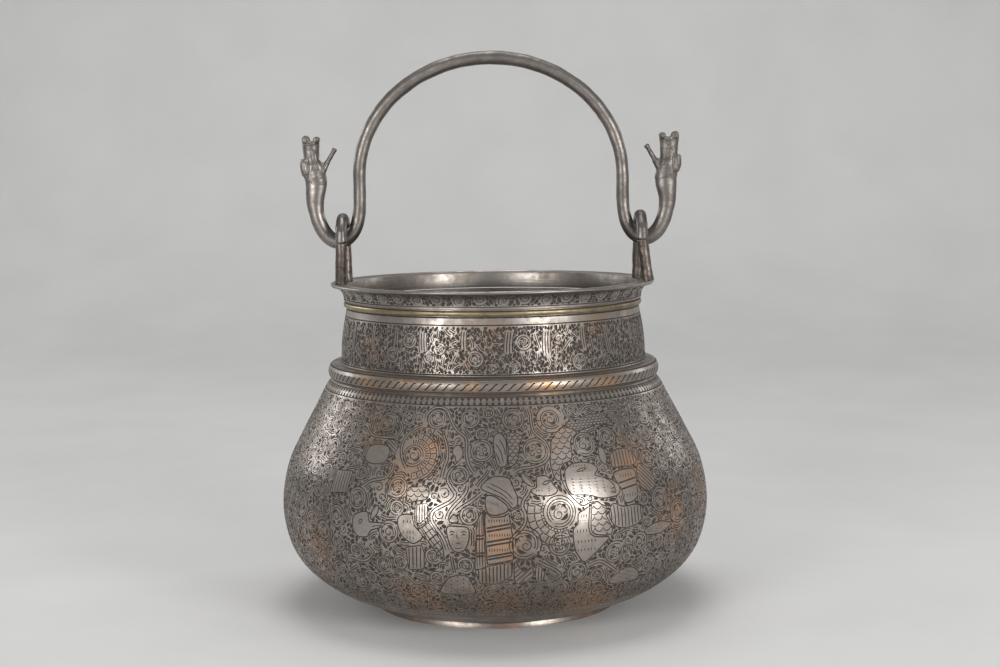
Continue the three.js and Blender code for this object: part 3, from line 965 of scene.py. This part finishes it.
    left = form((-2.7, 57), (-4.0, 61), (-4.3, 67), (-4.6, 76), (-4.9, 88.6), (-2.2, 88), (-2.4, 74),
                sharp=True)
    hatch(left, 90, 1.3, 0.4)
    for down in (70.2, 72.0, 79.6, 81.2):
        graver.line(np.array([spot(-4.5, down), spot(-2.4, down - 0.3)]), 0.95, 0.05)
    hatch(form((-4.9, 89.4), (-1.8, 86.8), (4.4, 84.2), (4.0, 93), (0.4, 97.6), (-3.8, 97), sharp=True), 90,
          1.75, 0.55)

    # a plain head under a cap band
    form((-11.5, 66.2), (-9, 65.4), (-6.5, 66), (-6.0, 69.6), (-6.5, 75), (-7.7, 78.6), (-9.5, 78.8),
         (-10.8, 75.2))
    for side in (-1, 1):
        middle = -8.8 + 1.45 * side
        trace(0.5, (middle - 0.8, 68.9), (middle, 67.9), (middle + 0.8, 68.9), taper=0.3)
        trace(0.5, (middle - 0.6, 70.2), (middle, 69.4), (middle + 0.6, 70.2), taper=0.3)
    trace(0.45, (-9.1, 68.4), (-9.0, 71.2), (-8.4, 72.6), taper=0.3)
    trace(0.5, (-9.5, 74.4), (-8.7, 74.2), (-8.0, 74.5), taper=0.3)
    trace(0.4, (-10.2, 76.4), (-8.8, 77), (-7.3, 76.3), taper=0.3)
    trace(0.6, (-11.4, 64.6), (-9, 63.8), (-6.2, 64.8))

    # a sash: striped above, latticed below, beside a plain skirt
    panel = form((-19.8, 54.8), (-16.6, 54.2), (-15.9, 60), (-18.2, 64.6), (-19.6, 64.4), sharp=True)
    hatch(panel, 88, 1.35, 0.5)
    sash = form((-18.4, 66.0), (-15.6, 62.6), (-14.4, 67.4), (-13.4, 71.4), (-12.6, 76), (-12.2, 84),
                (-14.2, 79.6), (-16.2, 73.6), sharp=True)
    hatch(sash, 52, 2.0, 0.5)
    hatch(sash, 140, 3.4, 0.6)
    form((-23.8, 61.4), (-20.6, 60.4), (-19.8, 65.6), (-17.6, 71.4), (-20, 75.4), (-22.7, 72),
         (-24.1, 66.6))
    ticks([64, 69.5, 72.4], (-22.6, -21.6, -20.8, -20.0), 1.9, 80)
    hatch(form((-22.0, 77.6), (-17.8, 76.0), (-16.8, 84), (-17.8, 89.4), (-21.8, 90.4), sharp=True), 94,
          1.9, 0.55, sway=1.5)
    scales_over(graver, form((-22, 46.6), (-19.4, 45.4), (-17.0, 44.8), (-16.4, 48), (-16.9, 51.6),
                             (-19.4, 53), (-22, 53.4)), 4.0)

    # a large bird: breast of scales, body with rows of strokes, crest, wing with feathers
    scales_over(graver, form((20.4, 13.6), (17.6, 17.6), (16.3, 21), (15.9, 26), (15.2, 32), (15.4, 38),
                             (16.0, 42.2), (17.2, 42.6), (17.5, 38), (18.8, 34), (21.2, 31.8), (21.8, 27),
                             (22.2, 21.4), (24.6, 17), (22.8, 14.6)), 4.7)
    form((18.5, 41), (19.0, 37), (21, 34.4), (24, 33.8), (27, 35.2), (28.2, 38.4), (27.0, 41.4),
         (29.5, 43.2), (32, 45.6), (33.5, 49), (33.0, 53), (30.5, 54.2), (27.4, 54.0), (24.4, 51.8),
         (21.6, 51.2), (19.6, 50.4), (18.6, 46))
    trace(0.55, (17.9, 38), (17.5, 42), (18.0, 46.5), (19.2, 50.8), (20.6, 54.4), (22.4, 57), (24.2, 55.8),
          (27, 55.4))
    for k, angle in enumerate((20.4, 22.6, 24.8, 26.9, 29.0)):
        ticks([42.6 + j * 1.65 + 0.3 * k for j in range(5)], [angle], 1.7, 38)
    ticks([35.6], (20.6, 21.4, 22.2, 23.0, 23.8, 24.6), 1.5, 70)
    trace(0.45, (21.8, 38.8), (23.0, 37.4), (24.8, 37), (23.8, 38.4), (21.8, 38.9), taper=0.1)
    trace(0.5, (26.8, 41.8), (28.4, 42.6), (30.4, 44.6), (31.8, 47.4), (32.2, 51))
    scales_over(graver, form((21.8, 11.2), (25, 10.4), (29, 8.2), (33.6, 7.8), (36.4, 10.4), (38.0, 15.4),
                             (37.0, 15.6), (35, 14.0), (31.6, 13.8), (28.6, 15.2), (25, 16.2),
                             (22.6, 14.4)), 2.5)
    form((11.0, 40.2), (13.2, 39.6), (14.4, 41.6), (15.2, 45), (16.1, 47.6), (15.4, 49.4), (14.0, 50.4),
         (12.0, 50.4), (9.9, 49.2), (9.3, 47), (10.7, 45.6), (10.8, 42.8))
    trace(0.5, (12.1, 44.4), (13.1, 42.8), (14.5, 42.6), (13.5, 44.2), (12.1, 44.4), taper=0.1)
    ticks([47.4], (10.6, 11.3, 12.0), 1.6, 66)
    ticks([45.6, 46.8, 48.0, 49.2], [13.9], 1.0, 10)
    scales_over(graver, form((24.7, 56.6), (26.4, 55.8), (27.4, 57.4), (28.8, 59), (28.4, 63), (29.2, 67),
                             (30.0, 70.8), (29.2, 73.8), (25.2, 72.6), (24.1, 69.4), (24.3, 63)), 4.3)
    form((23.9, 58), (22.4, 59.4), (20.9, 61), (20.6, 66), (19.3, 69.4), (19.6, 78), (20.6, 83),
         (22.6, 87.2), (25.4, 82.6), (27.8, 78), (29.0, 75), (25.0, 73.8), (23.5, 70), (23.7, 63))
    ticks([62.4], (21.6, 22.3, 23.0), 1.9, 96)
    ticks([70.2], (20.4, 21.2, 22.0, 22.8), 1.9, 90)
    ticks([75.8, 80.4], (20.6, 21.5, 22.4, 23.3, 24.2, 25.1), 2.0, 76)

    # a standing figure: pleated robe, tunic with a sash, striped round skirt, and a wing behind
    hatch(form((33.2, 38.4), (32.6, 34), (33.8, 30.6), (36.4, 28.8), (39.4, 29.4), (41.4, 33), (41.4, 37.4),
               (38.6, 39.2), (36, 38.6)), 98, 2.1, 0.5, sway=2)
    tunic = form((32.9, 41.4), (37.8, 40.2), (39.8, 42.2), (39.2, 50), (38.9, 55.6), (36.4, 58.4),
                 (34.4, 57.4), (34.0, 51), (32.8, 45.6))
    for down in (47.6, 51.2):
        sash = through([(a, down - 0.3 * (a - 33)) for a in np.arange(32, 41, 0.8)], 0.3)
        for run in runs_inside(tunic, sash):
            graver.line(run, 0.8, 0.05)
    ticks([43.6, 54.4], (34.6, 35.5, 36.4, 37.3, 38.2), 2.4, 90)
    hatch(form((30.8, 57.8), (34, 60), (37.6, 59.8), (39.6, 61.5), (39.9, 65.6), (38.4, 69.8), (34.6, 71.4),
               (31.4, 70.2), (29.7, 66.4), (29.4, 62)), 90, 2.0, 0.6, sway=3.5)
    hatch(form((41.2, 39.6), (42.8, 38.8), (45.5, 44), (46, 51), (43.2, 54.4), (40.6, 51), (40.2, 45)), 48,
          1.7, 0.45)

    # towards the other side: a plain boss, hatched leaf, an animal's head, domes and a column
    form((-37.6, 29), (-36.8, 25.4), (-34, 23.8), (-30.8, 24.6), (-29.8, 28), (-30.6, 33.4), (-34, 35),
         (-37, 33.4))
    hatch(form((-31.6, 22.6), (-31.2, 20.8), (-28.2, 21.0), (-27.6, 24), (-28.4, 31), (-29.4, 27)), 35, 1.5,
          0.4)
    form((-33.8, 60.8), (-37.2, 63.6), (-37.5, 70), (-36, 74.4), (-33, 74.2), (-31.8, 70.6), (-28.8, 68.2),
         (-27.8, 66.0), (-30.4, 66.0), (-32.4, 65.8), (-32.8, 62.2))
    trace(0.45, (-35.7, 67.6), (-35.3, 65.6), (-34.6, 65.4), (-34.9, 67.2), (-35.7, 67.6), taper=0.1)
    trace(0.45, (-31.6, 68.6), (-30, 67.6), (-28.6, 67.2))
    hatch(form((-46.4, 41), (-40.2, 40.4), (-40.6, 52.2), (-47, 54), sharp=True), 92, 1.9, 0.45)
    hatch(form((-13.8, 104.4), (-13.0, 98), (-11.4, 94), (-9, 92.2), (-6.8, 93), (-5.8, 97), (-5.6, 104)),
          96, 3.0, 0.5, dash=1.6)
    hatch(form((10.2, 86.4), (11.6, 88.6), (12.4, 92), (12.0, 97), (10.4, 98), (9.8, 92), sharp=True), 90,
          1.5, 0.45)
    hatch(form((4.9, 84.6), (6.2, 88.6), (7.4, 90.4), (9.0, 88.2), (9.6, 92.4), (8.0, 96), (5.4, 97.6),
               (4.7, 92)), 135, 1.9, 0.5, sway=2)
    hatch(form((31.6, 104), (32.2, 98), (36, 94.4), (40, 98.2), (40.6, 104)), 20, 2.2, 0.45, dash=1.6)
    hatch(form((40.6, 74), (45.4, 71.6), (50.4, 74.4), (46.4, 78), (41, 77.4)), 60, 1.8, 0.4, dash=1.4)


belly = Graver(belly_wall)
top_line, bottom_line = belly_wall.level(130.6), belly_wall.level(19.6)
open_ground = Ground(belly_wall, top_line + 0.3, bottom_line - 0.3)
figures(belly, open_ground, 0, 1)
figures(belly, open_ground, 180, -1)
chance = np.random.default_rng(11)
scroll_between(belly, open_ground, chance, [(5.8, 44), (5.0, 64), (4.3, 100), (3.6, 130)])
tendrils(belly, open_ground, chance, [(1.9, 11, 260), (1.4, 9, 420)])
scroll_between(belly, open_ground, chance, [(2.4, 80), (1.8, 160)])
sink_ground(belly, open_ground, chance,
            [(1.3, 2.4, 0.9, 900), (1.0, 2.1, 0.75, 1600), (0.75, 1.8, 0.6, 1800), (0.6, 1.2, 0.5, 300)],
            margin=0.32)
for z, width in ((134.9, 0.6), (130.9, 0.7), (19.3, 0.7), (16.2, 0.5)):
    belly.ring(belly_wall.level(z), width)
# a row of pearls left standing between dark triangles, and a row of short cuts near the foot
pearls = 186
pearl_step = belly_wall.round / pearls
upper, row, lower = (belly_wall.level(z) for z in (134.5, 132.85, 131.2))
for k in range(pearls):
    u = (k - pearls / 2) * pearl_step
    for edge in (upper, lower):
        tip = row + 0.12 * (edge - row)
        belly.pit(u, (edge + row) / 2, np.array([(u - 1.15, edge), (u + 1.15, edge), (u + 0.35, tip),
                                                 (u - 0.35, tip)]))
nicks = 220
for k in range(nicks):
    belly.leaf((k - nicks / 2) * belly_wall.round / nicks, belly_wall.level(17.7), 90, 1.9, 1.1)

TINNED, DULL_TIN, COPPER = (0.34, 0.305, 0.275), (0.185, 0.155, 0.13), (0.46, 0.27, 0.16)
# where the copper shows through the tinning: place, reach and strength
bowl_patches = [(-0.032, -0.105, 0.108, 0.026, 1.0), (-0.046, -0.102, 0.092, 0.020, 0.9),
                (0.002, -0.124, 0.062, 0.022, 1.0), (0.075, -0.088, 0.098, 0.026, 0.9),
                (0.097, -0.076, 0.068, 0.026, 0.9), (0.118, -0.040, 0.075, 0.026, 0.8),
                (-0.040, -0.105, 0.026, 0.028, 0.9), (0.052, -0.096, 0.024, 0.034, 1.0),
                (-0.100, -0.070, 0.050, 0.030, 0.6), (-0.070, -0.090, 0.118, 0.020, 0.5),
                (0.030, -0.100, 0.118, 0.024, 0.5), (0.0, -0.112, 0.026, 0.030, 0.5),
                (0.045, 0.110, 0.075, 0.026, 0.9), (-0.060, 0.102, 0.060, 0.026, 0.8),
                (-0.015, 0.116, 0.098, 0.018, 0.7), (0.022, 0.104, 0.028, 0.028, 0.7),
                (0.100, 0.062, 0.050, 0.026, 0.6), (-0.096, 0.070, 0.086, 0.022, 0.6)]
bowl_metal = worn_metal("tinned_copper_engraved", TINNED, DULL_TIN, COPPER, rub=0.35, patches=bowl_patches)
paste, shader, wire = material("black_paste_in_cuts")
place = wire.node("TexCoord", out=3)
crumbs = wire.node("TexNoise", Vector=place, Scale=500.0, Detail=3.0)
feed(shader, Base_Color=crumbs.between(0.35, 0.7).mixed((0.018, 0.014, 0.011), (0.06, 0.045, 0.035)),
     Roughness=crumbs * 0.3 + 0.55)
shader.inputs["Metallic"].default_value = 0.0

for name, first in (("bowl_front", -45), ("bowl_right", 45), ("bowl_back", 135), ("bowl_left", 225)):
    engraved(name, belly_wall, belly, belly_lining, [bowl_metal, paste], ["body_shell"],
             (first, first + 90), stations=48)

# Neck
# The upper part of the same sheet. Between two lines it has groups of tall reeds in a dense
# scroll of leaves, cut darker than the bowl, and it is left plain above and below.
NECK = [(85.3, 180.6), (85.5, 177.0), (88.3, 160.0), (89.0, 148.6), (89.7, 145.2), (91.4, 140.4),
        (95.0, 135.6)]
neck_path = flowing(NECK, 0.5)
neck_wall = Wall(neck_path, 87.6)
neck_lining = [(93.4, 135.65), (89.8, 140.9), (88.1, 145.4), (87.4, 148.8), (86.7, 160.0), (84.4, 175.0),
               (83.9, 178.0), (83.7, 180.6)]
neck = Graver(neck_wall)
band_top = neck_wall.level(171.9)
neck_ground = Ground(neck_wall, band_top, neck_wall.level(146.4))
for z, width in ((176.6, 0.9), (172.5, 0.7), (146.0, 0.8), (143.4, 0.5)):
    neck.ring(neck_wall.level(z), width)
chance = np.random.default_rng(5)
groups = 26
for k in range(groups):
    u = neck_wall.round * ((k + 0.5 * chance.random()) / groups - 0.5)
    count = 3 + int(chance.integers(2))
    start = band_top + 0.9 + 2 * chance.random()
    end = band_top + 11 + 8 * chance.random()
    lean = 0.24 * (chance.random() - 0.5)
    reeds = []
    for j in range(count):
        rungs = np.linspace(start + 0.4 * (j % 2), end + 1.2 * ((j + k) % 2), 6)
        sway = [0.5 * sin(w / 4) for w in rungs]
        reeds.append(flowing(np.c_[u + 1.55 * j + lean * (rungs - start) + sway, rungs]))
    for reed in reeds:
        neck.line(reed, 0.6, 0.1)
    neck_ground.keep(np.vstack([reeds[0], reeds[-1][::-1]])[::6])
scroll_between(neck, neck_ground, chance, [(4.2, 16), (3.2, 26)])
tendrils(neck, neck_ground, chance, [(2.4, 9, 130), (1.8, 8, 200), (1.5, 6, 200)], half=0.6, apart=0.8,
         upright=True)
sink_ground(neck, neck_ground, chance, [(0.95, 2.2, 1.0, 500), (0.7, 2.0, 0.8, 900), (0.5, 1.6, 0.6, 1100)],
            margin=0.14, upright=True)
neck_metal = worn_metal("tinned_copper_neck", TINNED, DULL_TIN, COPPER, rub=0.4,
                        patches=[(0.0, -0.086, 0.170, 0.012, 0.4), (-0.066, -0.056, 0.160, 0.016, 0.6),
                                 (0.058, -0.064, 0.172, 0.014, 0.6)])
for name, first in (("neck_front", -90), ("neck_back", 90)):
    engraved(name, neck_wall, neck, neck_lining, [neck_metal, paste], ["body_shell"],
             (first, first + 180), stations=96)

# Shoulder ring
# A half-round moulding of copper soldered where neck and bowl meet, with a rope cut round it.
ring_path = np.array([(93.6 + 3.2 * cos(radians(a)), 140.2 + 4.75 * sin(radians(a)))
                      for a in range(88, -72, -4)])
ring_wall = Wall(np.vstack([[(89.95, 145.25), (91.8, 145.2)], ring_path]), 96.0)
rope = Graver(ring_wall)
strands = 120
for k in range(strands):
    u = (k - strands / 2) * ring_wall.round / strands
    w = ring_wall.level(140.2)
    rope.line(flowing([(u + x, w + y) for x, y in [(-3.0, 1.5), (-1.9, 1.65), (-0.8, 0.9), (0.8, -0.9),
                                                   (1.9, -1.65), (3.0, -1.5)]]), 0.75, 0.1, deep=0.45,
              slack=0.02)
for z, width in ((144.2, 0.9), (137.3, 0.8)):
    rope.ring(ring_wall.level(z), width, 0.4)
ring_metal = worn_metal("rubbed_copper_ring", (0.30, 0.265, 0.235), DULL_TIN, (0.50, 0.29, 0.15), rub=0.5,
                        patches=[(0.030, -0.090, 0.142, 0.022, 1.0), (0.062, -0.074, 0.142, 0.020, 1.0),
                                 (-0.070, -0.066, 0.140, 0.012, 0.5), (-0.022, 0.094, 0.142, 0.018, 0.8),
                                 (0.062, 0.074, 0.142, 0.014, 0.6)])
engraved("rope_ring", ring_wall, rope, [(94.2, 135.8), (90.9, 140.6), (89.4, 145.0)], [ring_metal, paste],
         ["shoulder_ring"], stations=240, plain=3.0)

# Collar
# A cast collar round the top of the neck: flat above with a rolled lip, and a hollow moulding
# below with a running vine cut into it.
lip = [(93.5 + 1.05 * cos(radians(a)), 190.2 + 1.05 * sin(radians(a))) for a in range(150, -61, -15)]
hollow = [(94.05 - 7.1 * sin(radians(a)), 182.25 + 7.0 * cos(radians(a))) for a in range(6, 91, 6)]
collar_wall = Wall(flowing(lip[9:13] + lip[14:] + hollow[1:] + [(86.95, 181.1)], 0.4), 91.0)
collar_lining = [(84.0, 181.1), (83.9, 181.6), (83.9, 189.9), (84.1, 190.4), (84.6, 190.6),
                 (92.3, 190.6)] + lip[:9]
vine = Graver(collar_wall)
vine_ground = Ground(collar_wall, collar_wall.level(188.8), collar_wall.level(182.7))
for z, width in ((189.2, 0.6), (182.35, 0.5)):
    vine.ring(collar_wall.level(z), width)
bays = 46
pitch = collar_wall.round / bays
middle = (collar_wall.level(188.8) + collar_wall.level(182.7)) / 2
chance = np.random.default_rng(3)
for k in range(bays):
    u = (k - bays / 2 + 0.5) * pitch
    side = 1 if k % 2 else -1
    vine.arc(u, middle + side * 0.6, (3.1, 0.9), (90 * side, 90 * side + 480 * side), 0.5)
    vine.arc(u, middle + side * 0.6, (4.0, 3.9), (-120 * side, 60 * side), 0.5)
    vine_ground.keep_round(u, middle + side * 0.6, 3.7)
    vine.leaf(u + 0.3, middle + side * 0.7, 70, 1.4, 0.8, 60)
sink_ground(vine, vine_ground, chance, [(1.0, 2.2, 1.2, 200), (0.75, 1.8, 0.9, 500), (0.5, 1.2, 0.6, 500)])
collar_metal = worn_metal("worn_tin_collar", (0.31, 0.285, 0.26), DULL_TIN, COPPER, rub=0.3, scratches=0.8)
engraved("flanged_collar", collar_wall, vine, collar_lining, [collar_metal, paste],
         ["rim_flange"], stations=224, plain=3.2)

# Bead
# A thin brass bead that hides the joint of neck and collar. It is yellower than the rest.
bead = turned([(86.0 + 1.1 * cos(radians(a)), 178.8 + 1.48 * sin(radians(a))) for a in range(-96, 97, 12)],
              256)
brass = worn_metal("rubbed_yellow_brass", (0.33, 0.265, 0.155), (0.15, 0.12, 0.08), (0.42, 0.33, 0.18),
                   rub=0.4)
finished("joint_bead", bead, [brass], ["neck_bead"], sharp=50)

# Eyes
# Two hairpins of round bar that stand on the flange. The crown is worn smooth and grey by the
# hook, the legs below a small step are browner and pitted.


def swept(path, sizes, side, around=40):
    """A bar along a path in millimetres: sizes are its half widths in the plane of the bend and across"""
    form = bmesh.new()
    rings = []
    heading = np.gradient(path, axis=0)
    for centre, ahead, (inner, outer) in zip(path, heading, sizes):
        ahead = Vector(ahead).normalized()
        out = ahead.cross(Vector(side)).normalized()
        across = out.cross(ahead)
        rings.append([form.verts.new((Vector(centre) + out * inner * cos(a) + across * outer * sin(a)) * MM)
                      for a in np.linspace(0, tau, around, endpoint=False)])
    for a, b in zip(rings, rings[1:]):
        for i in range(around):
            form.faces.new((a[i], a[i - 1], b[i - 1], b[i]))
    for ring in (rings[0], rings[-1]):
        form.faces.new(ring)
    bmesh.ops.recalc_face_normals(form, faces=form.faces)
    return form


def knocked(form, size, depth):
    """Hand-made unevenness, size across and depth in millimetres"""
    form.normal_update()
    for v in form.verts:
        v.co += v.normal * depth * MM * noise.noise(v.co / (size * MM))


eye_grey = worn_metal("worn_grey_bronze", (0.205, 0.185, 0.17), (0.12, 0.105, 0.095), (0.28, 0.24, 0.21),
                      rub=0.2)
eye_brown = worn_metal("pitted_brown_bronze", (0.17, 0.14, 0.12), (0.07, 0.058, 0.05), (0.30, 0.24, 0.20),
                       rub=0.35, rough=0.42, dents=0.8)
EYE_X, EYE_FOOT, EYE_STEP, EYE_CROWN, EYE_BEND = 86.9, 190.75, 214.6, 215.4, 12.9
leg = EYE_CROWN - EYE_FOOT
whole_eye = 2 * leg + pi * EYE_BEND
for name, hand in (("eye_left", -1), ("eye_right", 1)):
    path, sizes = [], []
    for along in np.linspace(0, whole_eye, 160):
        turn = min(max((along - leg) / EYE_BEND, 0), pi)
        y, z = -EYE_BEND * cos(turn), EYE_CROWN + EYE_BEND * sin(turn)
        low = max(0, leg - along, along - whole_eye + leg)
        slant = 3.4 if hand > 0 and y < 0 else 0.7
        z -= low
        path.append((hand * (EYE_X - slant * low / leg * y / EYE_BEND), y, z))
        if z > EYE_STEP:
            sizes.append((3.2, 3.3))
        else:
            size = 2.9 if z > EYE_STEP - 0.6 else 3.2 + 0.12 * max(0, (196 - z) / 5)
            sizes.append((size, size))
    bar = swept(np.array(path), sizes, (1, 0, 0), 48)
    for face in bar.faces:
        face.material_index = 0 if face.calc_center_median().z > EYE_STEP * MM else 1
    knocked(bar, 5.0, 0.32)
    knocked(bar, 1.8, 0.14)
    for v in bar.verts:
        v.co.z = max(v.co.z, (EYE_FOOT - 0.13) * MM)
    finished(name + "_bar", bar, [eye_grey, eye_brown], [name], sharp=50)

# Bail
# One bar of bronze bent by hand: a round arch, straight legs, and a hook at each end that runs
# through the eye and swells towards the head. It is pitted, and rubbed bright on the edges.
ARCH_HALF, ARCH_FOOT, ARCH_RISE = 76.7, 252.4, 67.8
HOOK = [(ARCH_HALF, ARCH_FOOT), (76.7, 242.0), (77.2, 231.5), (79.5, 222.6), (84.2, 216.8), (90.3, 215.0),
        (96.3, 218.6), (100.8, 226.5), (102.7, 237.0), (102.0, 247.6), (101.9, 251.4)]
half_arch = [(ARCH_HALF * sin(radians(a)), ARCH_FOOT + ARCH_RISE * cos(radians(a))) for a in range(0, 90, 6)]
side_path = flowing(half_arch + HOOK, 0.8)
reach = np.r_[0, np.cumsum(np.hypot(*np.diff(side_path, axis=0).T))]
tip = reach[-1]
thick_at = np.interp(reach, [0, 70, 110, 135, 150, 165, 180, tip - 20, tip - 13, tip - 6, tip - 3, tip],
                     [3.95, 3.85, 3.65, 3.7, 4.05, 4.4, 4.4, 4.5, 5.1, 6.0, 6.2, 6.0])
rod_path = np.vstack([side_path[:0:-1] * (-1, 1), side_path])
thick_at = np.r_[thick_at[:0:-1], thick_at]
rod = swept(np.c_[rod_path[:, 0], np.zeros(len(rod_path)), rod_path[:, 1]],
            [(t, min(t, 4.1) * 0.99) for t in thick_at], (0, 1, 0), 40)
knocked(rod, 9.0, 0.25)
knocked(rod, 2.5, 0.06)
bronze = worn_metal("handled_bronze", (0.25, 0.225, 0.205), (0.125, 0.11, 0.10), (0.33, 0.265, 0.22),
                    rub=0.3, rough=0.38, scratches=0.3, dents=0.6)
finished("bail_rod", rod, [bronze], ["bail"], body="bail", sharp=60)

# Dragon heads
# Cast on the ends of the bail: a square snout with two curled lips, a brow that stands out on
# the far side, and a thin lower jaw that gapes towards the arch.
HEAD_X, HEAD_Z = 102.0, 247.45


def rolled_lip(h, z, y, thin, thick):
    """A roll right across the snout with rounded ends"""
    return [(h, side, z, size, size) for side, size in ((-y - 0.6, thin), (-y, thick), (y, thick),
                                                        (y + 0.6, thin))]


# Each lump runs through places given by distance out, across and up from the rod's end, with
# its two half widths there.
for name, hand, wide in (("dragon_head_left", -1, 5.1), ("dragon_head_right", 1, 5.7)):
    form = bmesh.new()
    middle = 7.6 - wide
    for points in [[(0.6, 0, -8.0, 4.8, 3.6), (0.3, 0, -3.0, 5.75, 3.92), (0.0, 0, 0.0, 6.1, 4.04),
                    (-0.2, 0, 2.3, 6.4, 4.25), (0.4, 0, 5.0, 6.4, 4.55), (1.0, 0, 8, 6.1, 4.6),
                    (1.7, 0, 12, 5.6, 4.4), (2.2, 0, 14.5, 4.6, 3.7)],
                   [(1.6, 0, 8, 4.4, 3.4), (middle - 0.2, 0, 13, wide - 0.6, 3.8),
                    (middle - 0.1, 0, 18, wide - 0.5, 3.7), (middle, 0, 23, wide - 0.2, 3.9),
                    (middle, 0, 26.0, wide, 3.9)],
                   rolled_lip(middle - wide + 1.7, 26.7, 3.3, 1.2, 1.8), rolled_lip(5.3, 26.9, 3.5, 1.5, 2.2),
                   [(3.6, 0, 4.5, 1.5, 2.6), (5.4, 0, 7.0, 2.6, 3.8), (6.4, 0, 10, 2.7, 4.1),
                    (6.7, 0, 13.5, 2.4, 4.1), (6.8, 0, 15.6, 2.1, 3.7)],
                   [(-2.0, 0, 9.0, 2.2, 2.2), (-3.6, 0, 12.2, 1.2, 1.9), (-4.4, 0, 13.4, 0.8, 1.5)],
                   [(0.2, 0, 2.0, 3.4, 3.4), (-2.2, 0, 5.6, 3.0, 3.0), (-4.4, 0, 9.4, 2.1, 2.3),
                    (-7.6, 0, 14.8, 1.4, 1.8), (-10.2, 0, 19.2, 1.3, 1.9), (-11.1, 0, 20.8, 1.6, 2.0),
                    (-11.6, 0, 21.6, 1.3, 1.7)]]:
        place = np.array([(hand * (HEAD_X + h), y, HEAD_Z + z) for h, y, z, _, _ in points])
        sizes = [(a, b) for *_, a, b in points]
        rolled = abs(place[0][1]) > 1
        part = swept(place, sizes, (1, 0, 0) if rolled else (0, 1, 0), 28)
        lump = bpy.data.meshes.new("lump")
        part.to_mesh(lump)
        part.free()
        form.from_mesh(lump)
    rough_mesh = bpy.data.meshes.new(name + "_rough")
    form.to_mesh(rough_mesh)
    form.free()
    rough = bpy.data.objects.new(name + "_rough", rough_mesh)
    scene.collection.objects.link(rough)
    joined = rough.modifiers.new("joined", "REMESH")
    joined.mode = "VOXEL"
    joined.voxel_size = 0.32 * MM
    soft = rough.modifiers.new("soft", "SMOOTH")
    soft.factor = 0.5
    soft.iterations = 9
    whole = bpy.data.meshes.new_from_object(rough.evaluated_get(bpy.context.evaluated_depsgraph_get()))
    bpy.data.objects.remove(rough)
    form = bmesh.new()
    form.from_mesh(whole)
    form.normal_update()
    grooves = [([(1.3, 20.5), (0.6, 16.5), (-0.6, 12.6), (-1.8, 10.2)], 0.55, 0.35),
               ([(-2.4, 24.2), (0.5, 23.5), (3.6, 23.9), (6.6, 24.6)], 0.5, 0.3),
               ([(4.4, 15.6), (4.0, 12.0), (4.1, 8.6), (5.0, 5.6)], 0.5, 0.4)]
    if hand < 0:
        grooves.append(([(-4.5, -0.6), (-1.0, -1.4), (2.0, 0.2), (4.6, 2.4)], 0.6, 0.5))
    for line, width, deep in grooves:
        line = flowing(line, 0.3)
        for v in form.verts:
            if abs(v.normal.y) > 0.35:
                out, up = hand * v.co.x / MM - HEAD_X, v.co.z / MM - HEAD_Z
                away = np.hypot(out - line[:, 0], up - line[:, 1]).min()
                if away < 2.5 * width:
                    v.co -= v.normal * deep * MM * float(np.exp(-(away / width) ** 2))
    knocked(form, 3.0, 0.22)
    knocked(form, 1.0, 0.08)
    finished(name + "_cast", form, [bronze], [name], body="bail", sharp=70)
